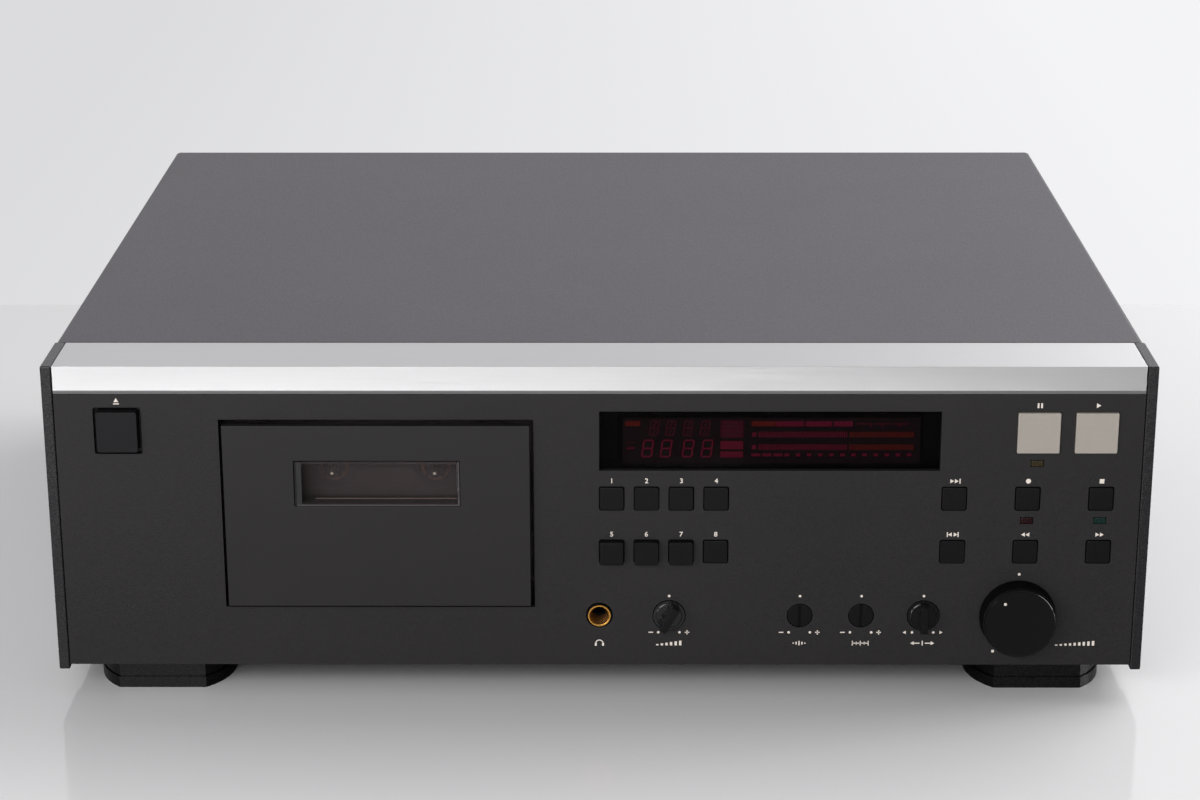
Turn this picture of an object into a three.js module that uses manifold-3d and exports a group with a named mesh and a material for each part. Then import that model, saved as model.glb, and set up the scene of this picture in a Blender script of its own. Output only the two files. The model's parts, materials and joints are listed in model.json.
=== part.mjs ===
import * as THREE from 'three';
import { mergeVertices } from 'three/addons/utils/BufferGeometryUtils.js';
import Module from 'manifold-3d';

// Front-loading cassette deck, lengths in millimetres.
// X runs across the width, Y from the front panel to the back and Z up.
// Pieces are drawn with Y = 0 on the face of the front panel and Z = 0 at the foot of the end cheeks.
// The last group moves them so that the origin lies under the middle of the whole deck, on the floor.

const wasm = await Module();
wasm.setup();

// Fits
const seat = 0.3; // clearance left between pieces that touch
const overrun = 2; // how far a cutting body runs past the wall that it cuts
const pinSteps = 10; // sides of a pin, stem or post
const roundSteps = 18; // sides of a small circle
const wheelSteps = 30; // sides of a large circle
const cornerSteps = 2; // sides of a rounded corner

// Case
const overallWidth = 450; // over both end cheeks
const cheekThickness = 4.4;
const cheekHeight = 131.2;
const cheekCorner = 2.4; // radius of the cheek's corners seen from the side
const cheekBevel = 1.1; // rounding of its long edges
const caseDepth = 371.1; // from the front panel's face to the rear edge of the cover
const coverInset = 1.05; // cover's sides inside the cheeks' outer faces
const coverBend = 2.2; // outer radius of the cover's two folds
const sheet = 1.2; // steel sheet of cover and tray
const footHeight = 13;

// Front panel, trim bar and the frame behind them
const panelThickness = 3;
const panelLift = 1.2; // lower edge of the panel above the foot of the cheeks
const barHeight = 11;
const barDepth = 31.4;
const barShelf = 2.2; // thickness of the bar's top face
const barChamfer = 0.85; // height of the bevel along the bar's lower front edge
const barChamferDepth = 0.35;
const frameSheet = 1.5;

// Rear panel and tray
const rearSheet = 1.5;
const rearInset = 2; // rear panel's face inside the cover's rear edge
const trayWall = 38; // height of the tray's folded sides

// Feet
const footRadius = 28.4;
const footFlat = 21.8; // from the foot's centre to its flat front
const footInset = 8.3; // flat front behind the front panel's face
const footEdge = 41.4; // foot's centre inside the cheek's outer face
const footBase = 4.8; // height of the foot's lower ring
const footStep = 0.5; // the upper part stands inside the ring by this much
const footGroove = 0.7; // depth and height of the groove over the ring

// Cassette door
const doorCentreShare = -0.200889; // of the width, right of the deck's middle
const doorWidth = 124.6;
const doorMiddleShare = 0.516006; // of the cheeks' height, as the other shares up the front
const doorHeight = 78.4;
const doorGap = 1.5; // open line between door and panel
const doorTopGap = 1.8; // open line over the door
const doorThickness = 3;
const doorCorner = 0.4;
const doorProud = 2.8; // door's face in front of the panel's
const windowWidth = 67.5; // hole in the door
const windowHeight = 19.5;
const windowShift = 0.1; // window's middle right of the door's
const windowLowShare = 0.744482; // door below the hole, of its height without the hole
const windowDepth = 9.5; // recess of the pane behind the door's face
const windowWall = 1;
const windowPane = 1.5;

// Cassette carrier and its hinge
const cassetteWidth = 100.4;
const cassetteDrop = 34.5; // underside of a loaded cassette below the spindles
const cassetteFront = 16; // its front and back faces
const cassetteBack = 27.2;
const carrierWall = 2;
const carrierPlate = 1.5;
const carrierLedge = 11; // length of the ledge under each end of a cassette
const guideInset = 5; // top of the side guides below the carrier's frame
const carrierTopInset = 3.9; // frame's edges inside the door's
const carrierLowInset = 2.5;
const carrierFrameMargin = 5; // frame's edge outside the side guides
const carrierRim = 1.6; // frame's hole outside the window
const hingeBack = 6.2; // hinge axis behind the panel's face
const hingeDrop = 54.9; // hinge axis below the spindles
const hingePin = 1.5; // radius
const hingeSpan = 120; // middle to middle of the two lugs
const hingeLug = 2;
const hingeEye = 2.6; // radius of the metal round the pin

// Tape transport
const chassisPlate = 2;
const chassisOverhang = 8.1; // plate's edge right of the door
const spindleShift = 0.95; // middle of the two spindles right of the door's middle
const spindleSpacing = 42.5;
const spindleLift = 50.4; // spindles above the door's lower edge
const spindleTip = 18; // tip of the spindle behind the panel's face
const spindleRadius = 2.4;
const spindleFin = 4.3; // radius over the three drive fins
const spindleFinWidth = 1.1;
const spindleNose = 1.8; // length of the pointed tip
const spindleFinInset = 2.6; // fins start behind the tip
const tableRadius = 9.5;
const tableThickness = 2.2;
const tableGap = 1.2; // from the spool table to the chassis plate
const shaftRadius = 1.5;
const shaftTail = 12; // spindle shaft behind the chassis plate
const motorRadius = 16;
const motorLength = 20;
const capstanSpacing = 59;
const capstanDrop = 25.9; // capstans below the spindles
const capstanTip = 14;
const capstanRadius = 1.25;
const capstanShaft = 2.4;
const capstanStep = 29; // where the thin capstan meets its shaft
const bearingRadius = 5;
const bearingLength = 12;
const flywheelRadius = 24;
const flywheelThickness = 7;
const flywheelBack = 57; // front face of the flywheel
const rollerRadius = 5.5;
const rollerFront = 17;
const rollerBack = 27.4;
const rollerNip = 0.3; // free space between roller and capstan when engaged
const armFront = 28;
const armBack = 30;
const armHalfHeight = 2.5;
const armPin = 1.5;
const armReach = 16; // pivot outside the capstan
const armDrop = 14; // pivot below the capstan
const armSwing = 20; // degrees between rest and play
const bridgeWidth = 30;
const bridgeDrop = 23; // bridge's underside below the capstans
const bridgeTopDrop = 13;
const bridgeFront = 26;
const bridgeLift = 6; // stroke of the heads between rest and play
const headWidth = 15;
const headTopDrop = 7;
const headFront = 15;
const headBack = 25;
const headShare = 0.3; // middle head's share of the head block's width
const guideWidth = 3;

// Eject button
const ejectShare = -0.433333; // of the width, as the other shares across it
const ejectRowShare = 0.791921; // of the cheeks' height
const ejectWidth = 16.6;
const ejectHeight = 17.1;
const ejectGap = 1.4;
const ejectProud = 2.4;
const ejectCorner = 0.9;
const ejectLip = 1; // retaining lip wider than the hole
const ejectLipThickness = 1.2;
const ejectStem = 2.5; // radius
const ejectTravel = 3;
const ejectBush = 5; // radius of the bush on the chassis
const ejectBushLength = 12;

// Keys
const keySize = 9.9;
const keyGap = 0.3;
const keyCorner = 0.9;
const keyDepth = 6.5; // rear face of a key cap behind the panel's face
const keyProud = 0.6;
const keyTravel = 1;
const latchProud = 3.2; // the three latching keys in their outer position
const latchTravel = 2.4;
const keyColumn = 5.1; // centre of the first function key
const keyPitch = 14.2;
const upperRowShare = 0.569741; // of the cheeks' height
const lowerRowShare = 0.393293;
const searchShare = 0.321556;
const pauseEdge = 47.15; // key's middle inside the right cheek's outer face
const playEdge = 23.75;
const recordEdge = 50.4;
const stopEdge = 20.5;
const wideKeySize = 17.2;
const wideKeyCorner = 0.4;
const wideKeyRowShare = 0.786585;
const wideKeyProud = 1;
const stemRadius = 1.5;
const stemEnd = 12.2; // stem's rest position inside its switch

// Control board
const boardThickness = 1.6;
const boardFront = 15.2;
const boardLead = 14.1; // board's left edge left of the first function key
const sideRoom = 2.3; // from the board and the chassis plate to the cheeks
const boardLowShare = 0.327744; // of the cheeks' height
const boardTopShare = 0.884146;
const boardPost = 2.4; // radius
const boardPostInset = 3.4;
const switchSize = 6.4;
const switchFront = 10.8;

// Display
const displayLeft = 0;
const displayWidthShare = 0.307778;
const displayMiddleShare = 0.758384; // of the cheeks' height
const displayHeight = 25.4;
const lensRecess = 2.2;
const lensThickness = 2;
const tubeMargin = 7.25; // tube's ends inside the ends of the window
const tubeHeight = 21;
const tubeThickness = 6.4;
const tubeShift = 0.3; // tube's middle right of the lens's middle
const tubePostShare = 0.3; // posts behind the tube, from its middle, as a share of its width

// Lamps
const lampWidth = 5;
const lampHeight = 2.6;
const lampGap = 0.2;
const lampProud = 0.2;
const pauseLampShare = 0.685976; // of the cheeks' height
const lowerLampShare = 0.496951;

// Rotary controls
const dialRowShare = 0.176829; // all five axes, of the cheeks' height
const volumeShare = 0.064;
const biasShare = 0.184;
const calibrationShare = 0.240444;
const balanceShare = 0.297556;
const levelShare = 0.383778;
const dialRadius = 6.6;
const dialRim = 0.5; // dial's rim in front of the panel's face
const dialDish = 1.7; // depth of the dish behind the rim
const dialEdge = 0.7; // width of the rim
const gripWidth = 3.1;
const gripLength = 11.4;
const gripProud = 6.6;
const dialShaft = 2;
const trimmerRadius = 5.1;
const trimmerSlot = 0.9;
const trimmerSlotDepth = 1.2;
const levelBaseRadius = 15.8;
const levelShoulderRadius = 14.5;
const levelFaceRadius = 13.5;
const levelProud = 9.4;
const levelShoulder = 1.6; // length of the bevel round its face
const levelShaft = 3;
const pointerRest = 30; // degrees that the volume pointer leans from the vertical at its lower end stop
const canRadius = 7.4;
const canLength = 9;
const canBoardMargin = 4;
const canBoardDrop = 10.2; // board's lower edge below the axes
const canBoardRise = 13.8;

// Phones socket
const jackX = 0;
const jackRowShare = 0.178354; // of the cheeks' height
const jackHole = 5.6;
const jackSleeve = 4.75;
const jackBore = 3.25;
const jackMouth = 3.9;
const jackMouthDepth = 0.8;
const jackProud = 1;
const jackLength = 17;
const jackBody = 14.5;
const jackBodyBack = 22;

// Main board
const mainLeftShare = -0.211111;
const mainEdge = 10.45; // board's right edge inside the tray's side
const mainFront = 78;
const mainRear = 22.6; // board's rear edge in front of the rear panel
const mainHeight = 14;
const mainPost = 3;
const mainPostInset = 6;
const heatSinkLength = 90;
const heatSinkHeight = 34;
const heatSinkBase = 3;
const heatSinkFin = 2;
const heatSinkFinReach = 16;
const heatSinkFins = 6;
const capacitorRadius = 9;
const capacitorHeight = 38;
const capacitorPitch = 24;

// Mains transformer
const coreLength = 72;
const coreWidth = 60;
const coreHeight = 50;
const coreEdge = 14.45; // core inside the tray's side
const coreRear = 71.6; // core in front of the rear panel
const coilReach = 13; // coil in front of and behind the core
const coilMargin = 12;

// Sockets on the rear panel
const lineShare = 0.266667;
const linePitch = 16;
const lineRowShare = 0.335366; // of the cheeks' height
const lineBarrel = 4.2;
const lineBarrelReach = 8;
const linePin = 1.6; // radius of the centre contact's bore
const linePinDepth = 14;
const lineBlockMargin = 8;
const lineBlockDepth = 13;
const inletShare = -0.377778;
const inletRowShare = 0.259146;
const inletWidth = 27;
const inletHeight = 20;
const inletFlange = 3;
const inletFlangeThickness = 2;
const inletWall = 2;
const inletDepth = 22;
const inletPocket = 17;
const bladeWidth = 2;
const bladeHeight = 5;
const bladeLength = 12;
const bladeSpread = 14;
const bladeRaise = 4; // middle contact above the outer two

// Places that follow from the sizes above
const panelHalf = overallWidth / 2 - cheekThickness - seat;
const barLow = cheekHeight - barHeight;
const panelTop = barLow - seat;
const panelBack = panelThickness + seat;
const frameLow = panelLift + seat;
const frameTop = cheekHeight - barShelf - seat;
const frameBack = barDepth;
const bodyFront = frameBack + seat;
const rearFace = caseDepth - rearInset;
const rearFront = rearFace - rearSheet;
const coverHalf = overallWidth / 2 - coverInset;
const trayHalf = coverHalf - sheet - seat;
const trayFloor = frameLow + sheet;
const plateFront = bodyFront;
const plateBack = plateFront + chassisPlate;
const footAcross = overallWidth / 2 - footEdge;
const doorCentre = overallWidth * doorCentreShare;
const doorBottom = cheekHeight * doorMiddleShare - doorHeight / 2;
const windowLeft = doorCentre + windowShift - windowWidth / 2;
const windowBottom = doorBottom + (doorHeight - windowHeight) * windowLowShare;
const doorFront = -doorProud;
const doorBack = doorThickness - doorProud;
const chassisLeft = sideRoom - panelHalf;
const chassisRight = doorCentre + doorWidth / 2 + chassisOverhang;
const spindleMiddle = doorCentre + spindleShift;
const spindleHeight = doorBottom + spindleLift;
const capstanHeight = spindleHeight - capstanDrop;
const cassetteLow = spindleHeight - cassetteDrop;
const carrierFrameTop = doorBottom + doorHeight - carrierTopInset;
const carrierFrameLow = doorBottom + carrierLowInset;
const carrierTop = carrierFrameTop - guideInset;
const hingeHeight = spindleHeight - hingeDrop;
const bridgeLow = capstanHeight - bridgeDrop;
const bridgeTop = capstanHeight - bridgeTopDrop;
const headTop = capstanHeight - headTopDrop;
const leftSpindle = spindleMiddle - spindleSpacing / 2;
const rightSpindle = spindleMiddle + spindleSpacing / 2;
const leftCapstan = spindleMiddle - capstanSpacing / 2;
const rightCapstan = spindleMiddle + capstanSpacing / 2;
const ejectX = overallWidth * ejectShare;
const ejectZ = cheekHeight * ejectRowShare;
const upperRow = cheekHeight * upperRowShare;
const lowerRow = cheekHeight * lowerRowShare;
const wideKeyRow = cheekHeight * wideKeyRowShare;
const searchColumn = overallWidth * searchShare;
const pauseColumn = overallWidth / 2 - pauseEdge;
const playColumn = overallWidth / 2 - playEdge;
const recordColumn = overallWidth / 2 - recordEdge;
const stopColumn = overallWidth / 2 - stopEdge;
const boardLeft = keyColumn - boardLead;
const boardRight = panelHalf - sideRoom;
const boardBack = boardFront + boardThickness;
const boardLow = cheekHeight * boardLowShare;
const boardTop = cheekHeight * boardTopShare;
const displayWidth = overallWidth * displayWidthShare;
const displayMiddle = cheekHeight * displayMiddleShare;
const tubeWidth = displayWidth - 2 * tubeMargin;
const lensFront = lensRecess;
const tubeFront = lensFront + lensThickness + seat;
const pauseLampZ = cheekHeight * pauseLampShare;
const lowerLampZ = cheekHeight * lowerLampShare;
const dialHeight = cheekHeight * dialRowShare;
const jackZ = cheekHeight * jackRowShare;
const volumeX = overallWidth * volumeShare;
const biasX = overallWidth * biasShare;
const calibrationX = overallWidth * calibrationShare;
const balanceX = overallWidth * balanceShare;
const levelX = overallWidth * levelShare;
const mainLeft = overallWidth * mainLeftShare;
const mainRight = trayHalf - mainEdge;
const mainBack = rearFront - mainRear;
const coreLeft = coreEdge - trayHalf;
const coreFront = rearFront - coreRear - coreWidth;
const lineX = overallWidth * lineShare;
const lineZ = cheekHeight * lineRowShare;
const inletX = overallWidth * inletShare;
const inletZ = cheekHeight * inletRowShare;
const deckFront = -levelProud;
const deckBack = rearFace + lineBarrelReach;

// Outlines in a plane
function rectangle(width, height, corner = 0) {
  if (corner === 0) {
    return [[-1, -1], [1, -1], [1, 1], [-1, 1]].map(
      ([across, up]) => new THREE.Vector2(across * width / 2, up * height / 2)
    );
  }
  const points = [];
  for (let quarter = 0; quarter < 4; quarter += 1) {
    const turn = quarter * Math.PI / 2;
    const side = quarter === 0 || quarter === 3 ? 1 : -1;
    const rise = quarter < 2 ? 1 : -1;
    for (let step = 0; step <= cornerSteps; step += 1) {
      const angle = turn + step / cornerSteps * Math.PI / 2;
      points.push(new THREE.Vector2(
        side * (width / 2 - corner) + corner * Math.cos(angle),
        rise * (height / 2 - corner) + corner * Math.sin(angle)
      ));
    }
  }
  return points;
}

function circle(radius, steps = roundSteps) {
  const points = [];
  for (let step = 0; step < steps; step += 1) {
    const angle = step / steps * Math.PI * 2;
    points.push(new THREE.Vector2(radius * Math.cos(angle), radius * Math.sin(angle)));
  }
  return points;
}

function at(points, across, up) {
  return points.map((point) => new THREE.Vector2(point.x + across, point.y + up));
}

// Closed bodies
function closed(geometry) {
  geometry.deleteAttribute('normal');
  geometry.deleteAttribute('uv');
  const merged = mergeVertices(geometry);
  const index = merged.index.array;
  const kept = [];
  for (let corner = 0; corner < index.length; corner += 3) {
    const [a, b, c] = [index[corner], index[corner + 1], index[corner + 2]];
    if (a !== b && b !== c && c !== a) {
      kept.push(a, b, c);
    }
  }
  return new wasm.Manifold(new wasm.Mesh({
    numProp: 3,
    vertProperties: new Float32Array(merged.attributes.position.array),
    triVerts: new Uint32Array(kept)
  }));
}

function shapeOf(outline, holes) {
  const shape = new THREE.Shape(outline);
  shape.holes = holes.map((hole) => new THREE.Path(hole));
  return shape;
}

// Outline in X and Z, from one Y to another
function prismY(outline, from, to, holes = []) {
  const geometry = new THREE.ExtrudeGeometry(shapeOf(outline, holes), { depth: to - from, bevelEnabled: false });
  geometry.rotateX(Math.PI / 2);
  geometry.translate(0, to, 0);
  return closed(geometry);
}

// Outline in Y and Z, from one X to another
function prismX(outline, from, to, bevel = 0) {
  const geometry = new THREE.ExtrudeGeometry(new THREE.Shape(outline), {
    depth: to - from - 2 * bevel,
    bevelEnabled: bevel > 0,
    bevelThickness: bevel,
    bevelSize: bevel,
    bevelOffset: -bevel,
    bevelSegments: cornerSteps
  });
  geometry.applyMatrix4(new THREE.Matrix4().makeBasis(
    new THREE.Vector3(0, 1, 0), new THREE.Vector3(0, 0, 1), new THREE.Vector3(1, 0, 0)
  ));
  geometry.translate(from + bevel, 0, 0);
  return closed(geometry);
}

// Outline in X and Y, from one Z to another
function prismZ(outline, from, to) {
  const geometry = new THREE.ExtrudeGeometry(new THREE.Shape(outline), { depth: to - from, bevelEnabled: false });
  geometry.translate(0, 0, from);
  return closed(geometry);
}

function block(left, right, front, back, low, high) {
  const geometry = new THREE.BoxGeometry(right - left, back - front, high - low);
  geometry.translate((left + right) / 2, (front + back) / 2, (low + high) / 2);
  return closed(geometry);
}

// Body of revolution about the Y axis through the origin: pairs of radius and Y, Y rising
function turned(profile, steps = roundSteps) {
  const points = profile.map(([radius, along]) => new THREE.Vector2(radius, along));
  return closed(new THREE.LatheGeometry(points, steps));
}

function rod(radius, from, to, across = 0, up = 0, steps = pinSteps) {
  return turned([[0, from], [radius, from], [radius, to], [0, to]], steps).translate([across, 0, up]);
}

function rodX(radius, from, to, along, up) {
  return rod(radius, from, to).rotate([0, 0, -90]).translate([0, along, up]);
}

function rodZ(radius, from, to, across, along) {
  return rod(radius, from, to).rotate([90, 0, 0]).translate([across, along, 0]);
}

function joined(pieces) {
  return pieces.reduce((whole, piece) => whole.add(piece));
}

function without(whole, cuts) {
  return cuts.reduce((rest, cut) => rest.subtract(cut), whole);
}

// Scene graph
const deck = new THREE.Group();
const caseGroup = new THREE.Group();
caseGroup.position.set(0, -(deckFront + deckBack) / 2, footHeight);
deck.add(caseGroup);

const finishes = {
  powderCoat: { color: 0x6b686d, roughness: 0.6, metalness: 0.1 },
  satinAluminium: { color: 0xc8c8ca, roughness: 0.32, metalness: 0.9 },
  panelPaint: { color: 0x333132, roughness: 0.6, metalness: 0.1 },
  doorPaint: { color: 0x323032, roughness: 0.5, metalness: 0.1 },
  blackPlastic: { color: 0x1b1c1c, roughness: 0.3, metalness: 0 },
  greyPlastic: { color: 0xa8a19a, roughness: 0.5, metalness: 0 },
  ejectPlastic: { color: 0x242326, roughness: 0.45, metalness: 0 },
  footPlastic: { color: 0x202022, roughness: 0.6, metalness: 0 },
  smokedGlass: { color: 0x1a1516, roughness: 0.1, metalness: 0, transparent: true, opacity: 0.5 },
  tubeGlass: { color: 0x1c0a12, roughness: 0.15, metalness: 0 },
  zincSteel: { color: 0x9a9c9c, roughness: 0.4, metalness: 0.8 },
  gold: { color: 0xd6a050, roughness: 0.25, metalness: 0.9 },
  brightSteel: { color: 0xb8b9ba, roughness: 0.2, metalness: 0.9 },
  rubber: { color: 0x1d1d1d, roughness: 0.85, metalness: 0 },
  circuitBoard: { color: 0x31503c, roughness: 0.5, metalness: 0 },
  amberLens: { color: 0x544828, roughness: 0.3, metalness: 0 },
  redLens: { color: 0x460e12, roughness: 0.3, metalness: 0 },
  greenLens: { color: 0x1c3a30, roughness: 0.3, metalness: 0 }
};

function place(name, solid, finish, x = 0, y = 0, z = 0) {
  const result = solid.getMesh();
  const geometry = new THREE.BufferGeometry();
  geometry.setAttribute('position', new THREE.BufferAttribute(result.vertProperties, 3));
  geometry.setIndex(new THREE.BufferAttribute(result.triVerts, 1));
  geometry.computeVertexNormals();
  const mesh = new THREE.Mesh(geometry, new THREE.MeshStandardMaterial(finishes[finish]));
  mesh.name = name;
  mesh.position.set(x, y, z);
  caseGroup.add(mesh);
}

// Every opening of the front panel is added here by the piece that stands in it
const panelHoles = [];

function openPanel(outline, across, up) {
  panelHoles.push(at(outline, across, up));
}

// Ends, cover, tray and rear panel
function addCheeks() {
  const profile = at(rectangle(frameBack, cheekHeight, cheekCorner), frameBack / 2, cheekHeight / 2);
  const inner = overallWidth / 2 - cheekThickness;
  const cheek = prismX(profile, 0, cheekThickness, cheekBevel);
  place('left_cheek', cheek, 'blackPlastic', -inner - cheekThickness);
  place('right_cheek', cheek, 'blackPlastic', inner);
}

function addCover() {
  const outer = foldedTop(coverHalf, cheekHeight, coverBend);
  const inner = foldedTop(coverHalf - sheet, cheekHeight - sheet, coverBend - sheet).reverse();
  place('top_cover', prismY([...outer, ...inner], bodyFront, caseDepth), 'powderCoat');
}

// Right foot of the cover's side, over both folds, to the left foot
function foldedTop(half, top, bend) {
  const points = [new THREE.Vector2(half, frameLow)];
  for (const side of [1, -1]) {
    for (let step = 0; step <= cornerSteps; step += 1) {
      const angle = (side > 0 ? step : cornerSteps + step) / cornerSteps * Math.PI / 2;
      points.push(new THREE.Vector2(
        side * (half - bend) + bend * Math.cos(angle),
        top - bend + bend * Math.sin(angle)
      ));
    }
  }
  points.push(new THREE.Vector2(-half, frameLow));
  return points;
}

function addTray() {
  const floor = block(-trayHalf, trayHalf, bodyFront, rearFront - seat, frameLow, trayFloor);
  const sides = [-trayHalf, trayHalf - sheet].map(
    (left) => block(left, left + sheet, bodyFront, rearFront - seat, frameLow, trayWall)
  );
  place('bottom_tray', joined([floor, ...sides]), 'zincSteel');
}

function addRearPanel() {
  const low = frameLow;
  const high = cheekHeight - sheet - seat;
  const outline = at(rectangle(2 * trayHalf, high - low), 0, (low + high) / 2);
  const holes = linePlaces().map(([x, z]) => at(circle(lineBarrel + seat), x, z));
  holes.push(at(rectangle(inletWidth + 2 * seat, inletHeight + 2 * seat), inletX, inletZ));
  place('rear_panel', prismY(outline, rearFront, rearFace, holes), 'powderCoat');
}

function linePlaces() {
  const places = [];
  for (const column of [-1, 1]) {
    for (const row of [-1, 1]) {
      places.push([lineX + column * linePitch / 2, lineZ + row * linePitch / 2]);
    }
  }
  return places;
}

function addTrimBar() {
  const profile = [
    [0, barLow + barChamfer],
    [barChamferDepth, barLow],
    [panelThickness, barLow],
    [panelThickness, cheekHeight - barShelf],
    [barDepth, cheekHeight - barShelf],
    [barDepth, cheekHeight],
    [0, cheekHeight]
  ].map(([along, up]) => new THREE.Vector2(along, up));
  place('trim_bar', prismX(profile, -panelHalf, panelHalf), 'satinAluminium');
}

function addFrame() {
  const middle = (frameLow + frameTop) / 2;
  const height = frameTop - frameLow;
  const outline = at(rectangle(2 * panelHalf, height), 0, middle);
  const hole = at(rectangle(2 * (panelHalf - frameSheet), height - 2 * frameSheet), 0, middle);
  place('front_frame', prismY(outline, panelBack, frameBack, [hole]), 'zincSteel');
}

function footOutline(radius) {
  const flat = footFlat - (footRadius - radius);
  const half = Math.acos(flat / radius);
  const points = [];
  for (let step = 0; step <= wheelSteps; step += 1) {
    const angle = -Math.PI / 2 + half + step / wheelSteps * (Math.PI * 2 - 2 * half);
    points.push(new THREE.Vector2(radius * Math.cos(angle), radius * Math.sin(angle)));
  }
  return points;
}

function addFeet() {
  const top = footHeight + panelLift;
  const foot = joined([
    prismZ(footOutline(footRadius), 0, footBase),
    prismZ(footOutline(footRadius - footStep - footGroove), 0, footBase + footGroove),
    prismZ(footOutline(footRadius - footStep), footBase + footGroove, top)
  ]);
  const turnedFoot = foot.rotate([0, 0, 180]);
  const row = footInset + footFlat;
  for (const [side, sign] of [['left', -1], ['right', 1]]) {
    place(`front_${side}_foot`, foot, 'footPlastic', sign * footAcross, row, -footHeight);
    place(`rear_${side}_foot`, turnedFoot, 'footPlastic', sign * footAcross, caseDepth - row, -footHeight);
  }
}

// Cassette door
function addDoor() {
  const openingHeight = doorHeight + doorGap + doorTopGap;
  openPanel(
    rectangle(doorWidth + 2 * doorGap, openingHeight), doorCentre, doorBottom - doorGap + openingHeight / 2
  );
  const outline = at(rectangle(doorWidth, doorHeight, doorCorner), doorCentre, doorBottom + doorHeight / 2);
  const windowX = windowLeft + windowWidth / 2;
  const windowZ = windowBottom + windowHeight / 2;
  const hole = at(rectangle(windowWidth, windowHeight), windowX, windowZ);
  place('door_panel', prismY(outline, doorFront, doorBack, [hole]), 'doorPaint');

  const width = windowWidth - 2 * seat;
  const height = windowHeight - 2 * seat;
  const pane = doorFront + windowDepth;
  const tub = prismY(at(rectangle(width, height), windowX, windowZ), doorFront, pane + windowPane);
  const recess = prismY(
    at(rectangle(width - 2 * windowWall, height - 2 * windowWall), windowX, windowZ), doorFront - overrun, pane
  );
  place('door_window', tub.subtract(recess), 'smokedGlass');

  place('cassette_carrier', carrier(windowX, windowZ), 'blackPlastic');
}

function carrier(windowX, windowZ) {
  const front = doorBack + seat;
  const guide = cassetteWidth / 2 + seat;
  const half = guide + carrierWall + carrierFrameMargin;
  const middle = (carrierFrameLow + carrierFrameTop) / 2;
  const frame = prismY(
    at(rectangle(2 * half, carrierFrameTop - carrierFrameLow), doorCentre, middle),
    front,
    front + carrierPlate,
    [at(rectangle(windowWidth + 2 * carrierRim, windowHeight + 2 * carrierRim), windowX, windowZ)]
  );
  const pieces = [frame];
  const ledgeTop = cassetteLow - seat;
  const ledgeLow = ledgeTop - carrierWall;
  const back = cassetteBack + seat;
  for (const side of [-1, 1]) {
    const wall = side * (guide + carrierWall / 2);
    pieces.push(across(wall, carrierWall, front, back, ledgeLow, carrierTop));
    pieces.push(across(side * (guide + carrierWall - carrierLedge / 2), carrierLedge, cassetteFront, back,
      ledgeLow, ledgeTop));
    const eyeMiddle = side * (hingeSpan / 2 - hingeLug - seat);
    pieces.push(across(eyeMiddle, hingeLug, front, hingeBack + hingeEye, carrierFrameLow,
      carrierFrameLow + 2 * hingeEye));
    pieces.push(across(eyeMiddle, hingeLug, hingeBack, hingeBack + hingeEye, hingeHeight,
      carrierFrameLow + hingeEye));
    const from = Math.min(eyeMiddle, eyeMiddle + side * (hingeLug + seat));
    const to = Math.max(eyeMiddle, eyeMiddle + side * (hingeLug + seat));
    pieces.push(rodX(hingePin, doorCentre + from, doorCentre + to, hingeBack, hingeHeight));
    pieces.push(rodX(hingeEye, doorCentre + eyeMiddle - hingeLug / 2, doorCentre + eyeMiddle + hingeLug / 2,
      hingeBack, hingeHeight));
  }
  return joined(pieces);
}

// Block given by its middle and width, measured across from the door's middle
function across(middle, width, front, back, low, high) {
  const x = doorCentre + middle;
  return block(x - width / 2, x + width / 2, front, back, low, high);
}

// Tape transport
function addChassis() {
  const plate = block(chassisLeft, chassisRight, plateFront, plateBack, trayFloor + seat, frameTop - seat);
  const pieces = [plate];
  const cuts = [];
  for (const side of [-1, 1]) {
    const lug = side * hingeSpan / 2;
    pieces.push(across(lug, hingeLug, hingeBack - hingeEye, plateFront + chassisPlate / 2,
      hingeHeight - hingeEye, hingeHeight + hingeEye));
    cuts.push(rodX(hingePin + seat, doorCentre + lug - hingeLug, doorCentre + lug + hingeLug,
      hingeBack, hingeHeight));
    const rail = spindleMiddle + side * (bridgeWidth / 2 + seat + guideWidth / 2);
    pieces.push(block(rail - guideWidth / 2, rail + guideWidth / 2, bridgeFront + seat,
      plateFront + chassisPlate / 2, bridgeLow, bridgeTop + bridgeLift));
  }
  pieces.push(rod(ejectBush, plateFront - ejectBushLength, plateBack, ejectX, ejectZ));
  cuts.push(rod(ejectStem + seat, plateFront - ejectBushLength - overrun, plateBack + overrun, ejectX, ejectZ));
  for (const x of [leftCapstan, rightCapstan]) {
    pieces.push(rod(bearingRadius, plateFront, plateBack + bearingLength, x, capstanHeight));
    cuts.push(rod(capstanShaft + seat, plateFront - overrun, plateBack + bearingLength + overrun, x,
      capstanHeight));
  }
  for (const x of [leftSpindle, rightSpindle]) {
    cuts.push(rod(shaftRadius + seat, plateFront - overrun, plateBack + overrun, x, spindleHeight));
  }
  for (const side of [-1, 1]) {
    cuts.push(rod(armPin + seat, plateFront - overrun, plateBack + overrun, armPivotX(side), armPivotZ()));
  }
  place('transport_chassis', without(joined(pieces), cuts), 'zincSteel');
}

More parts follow.
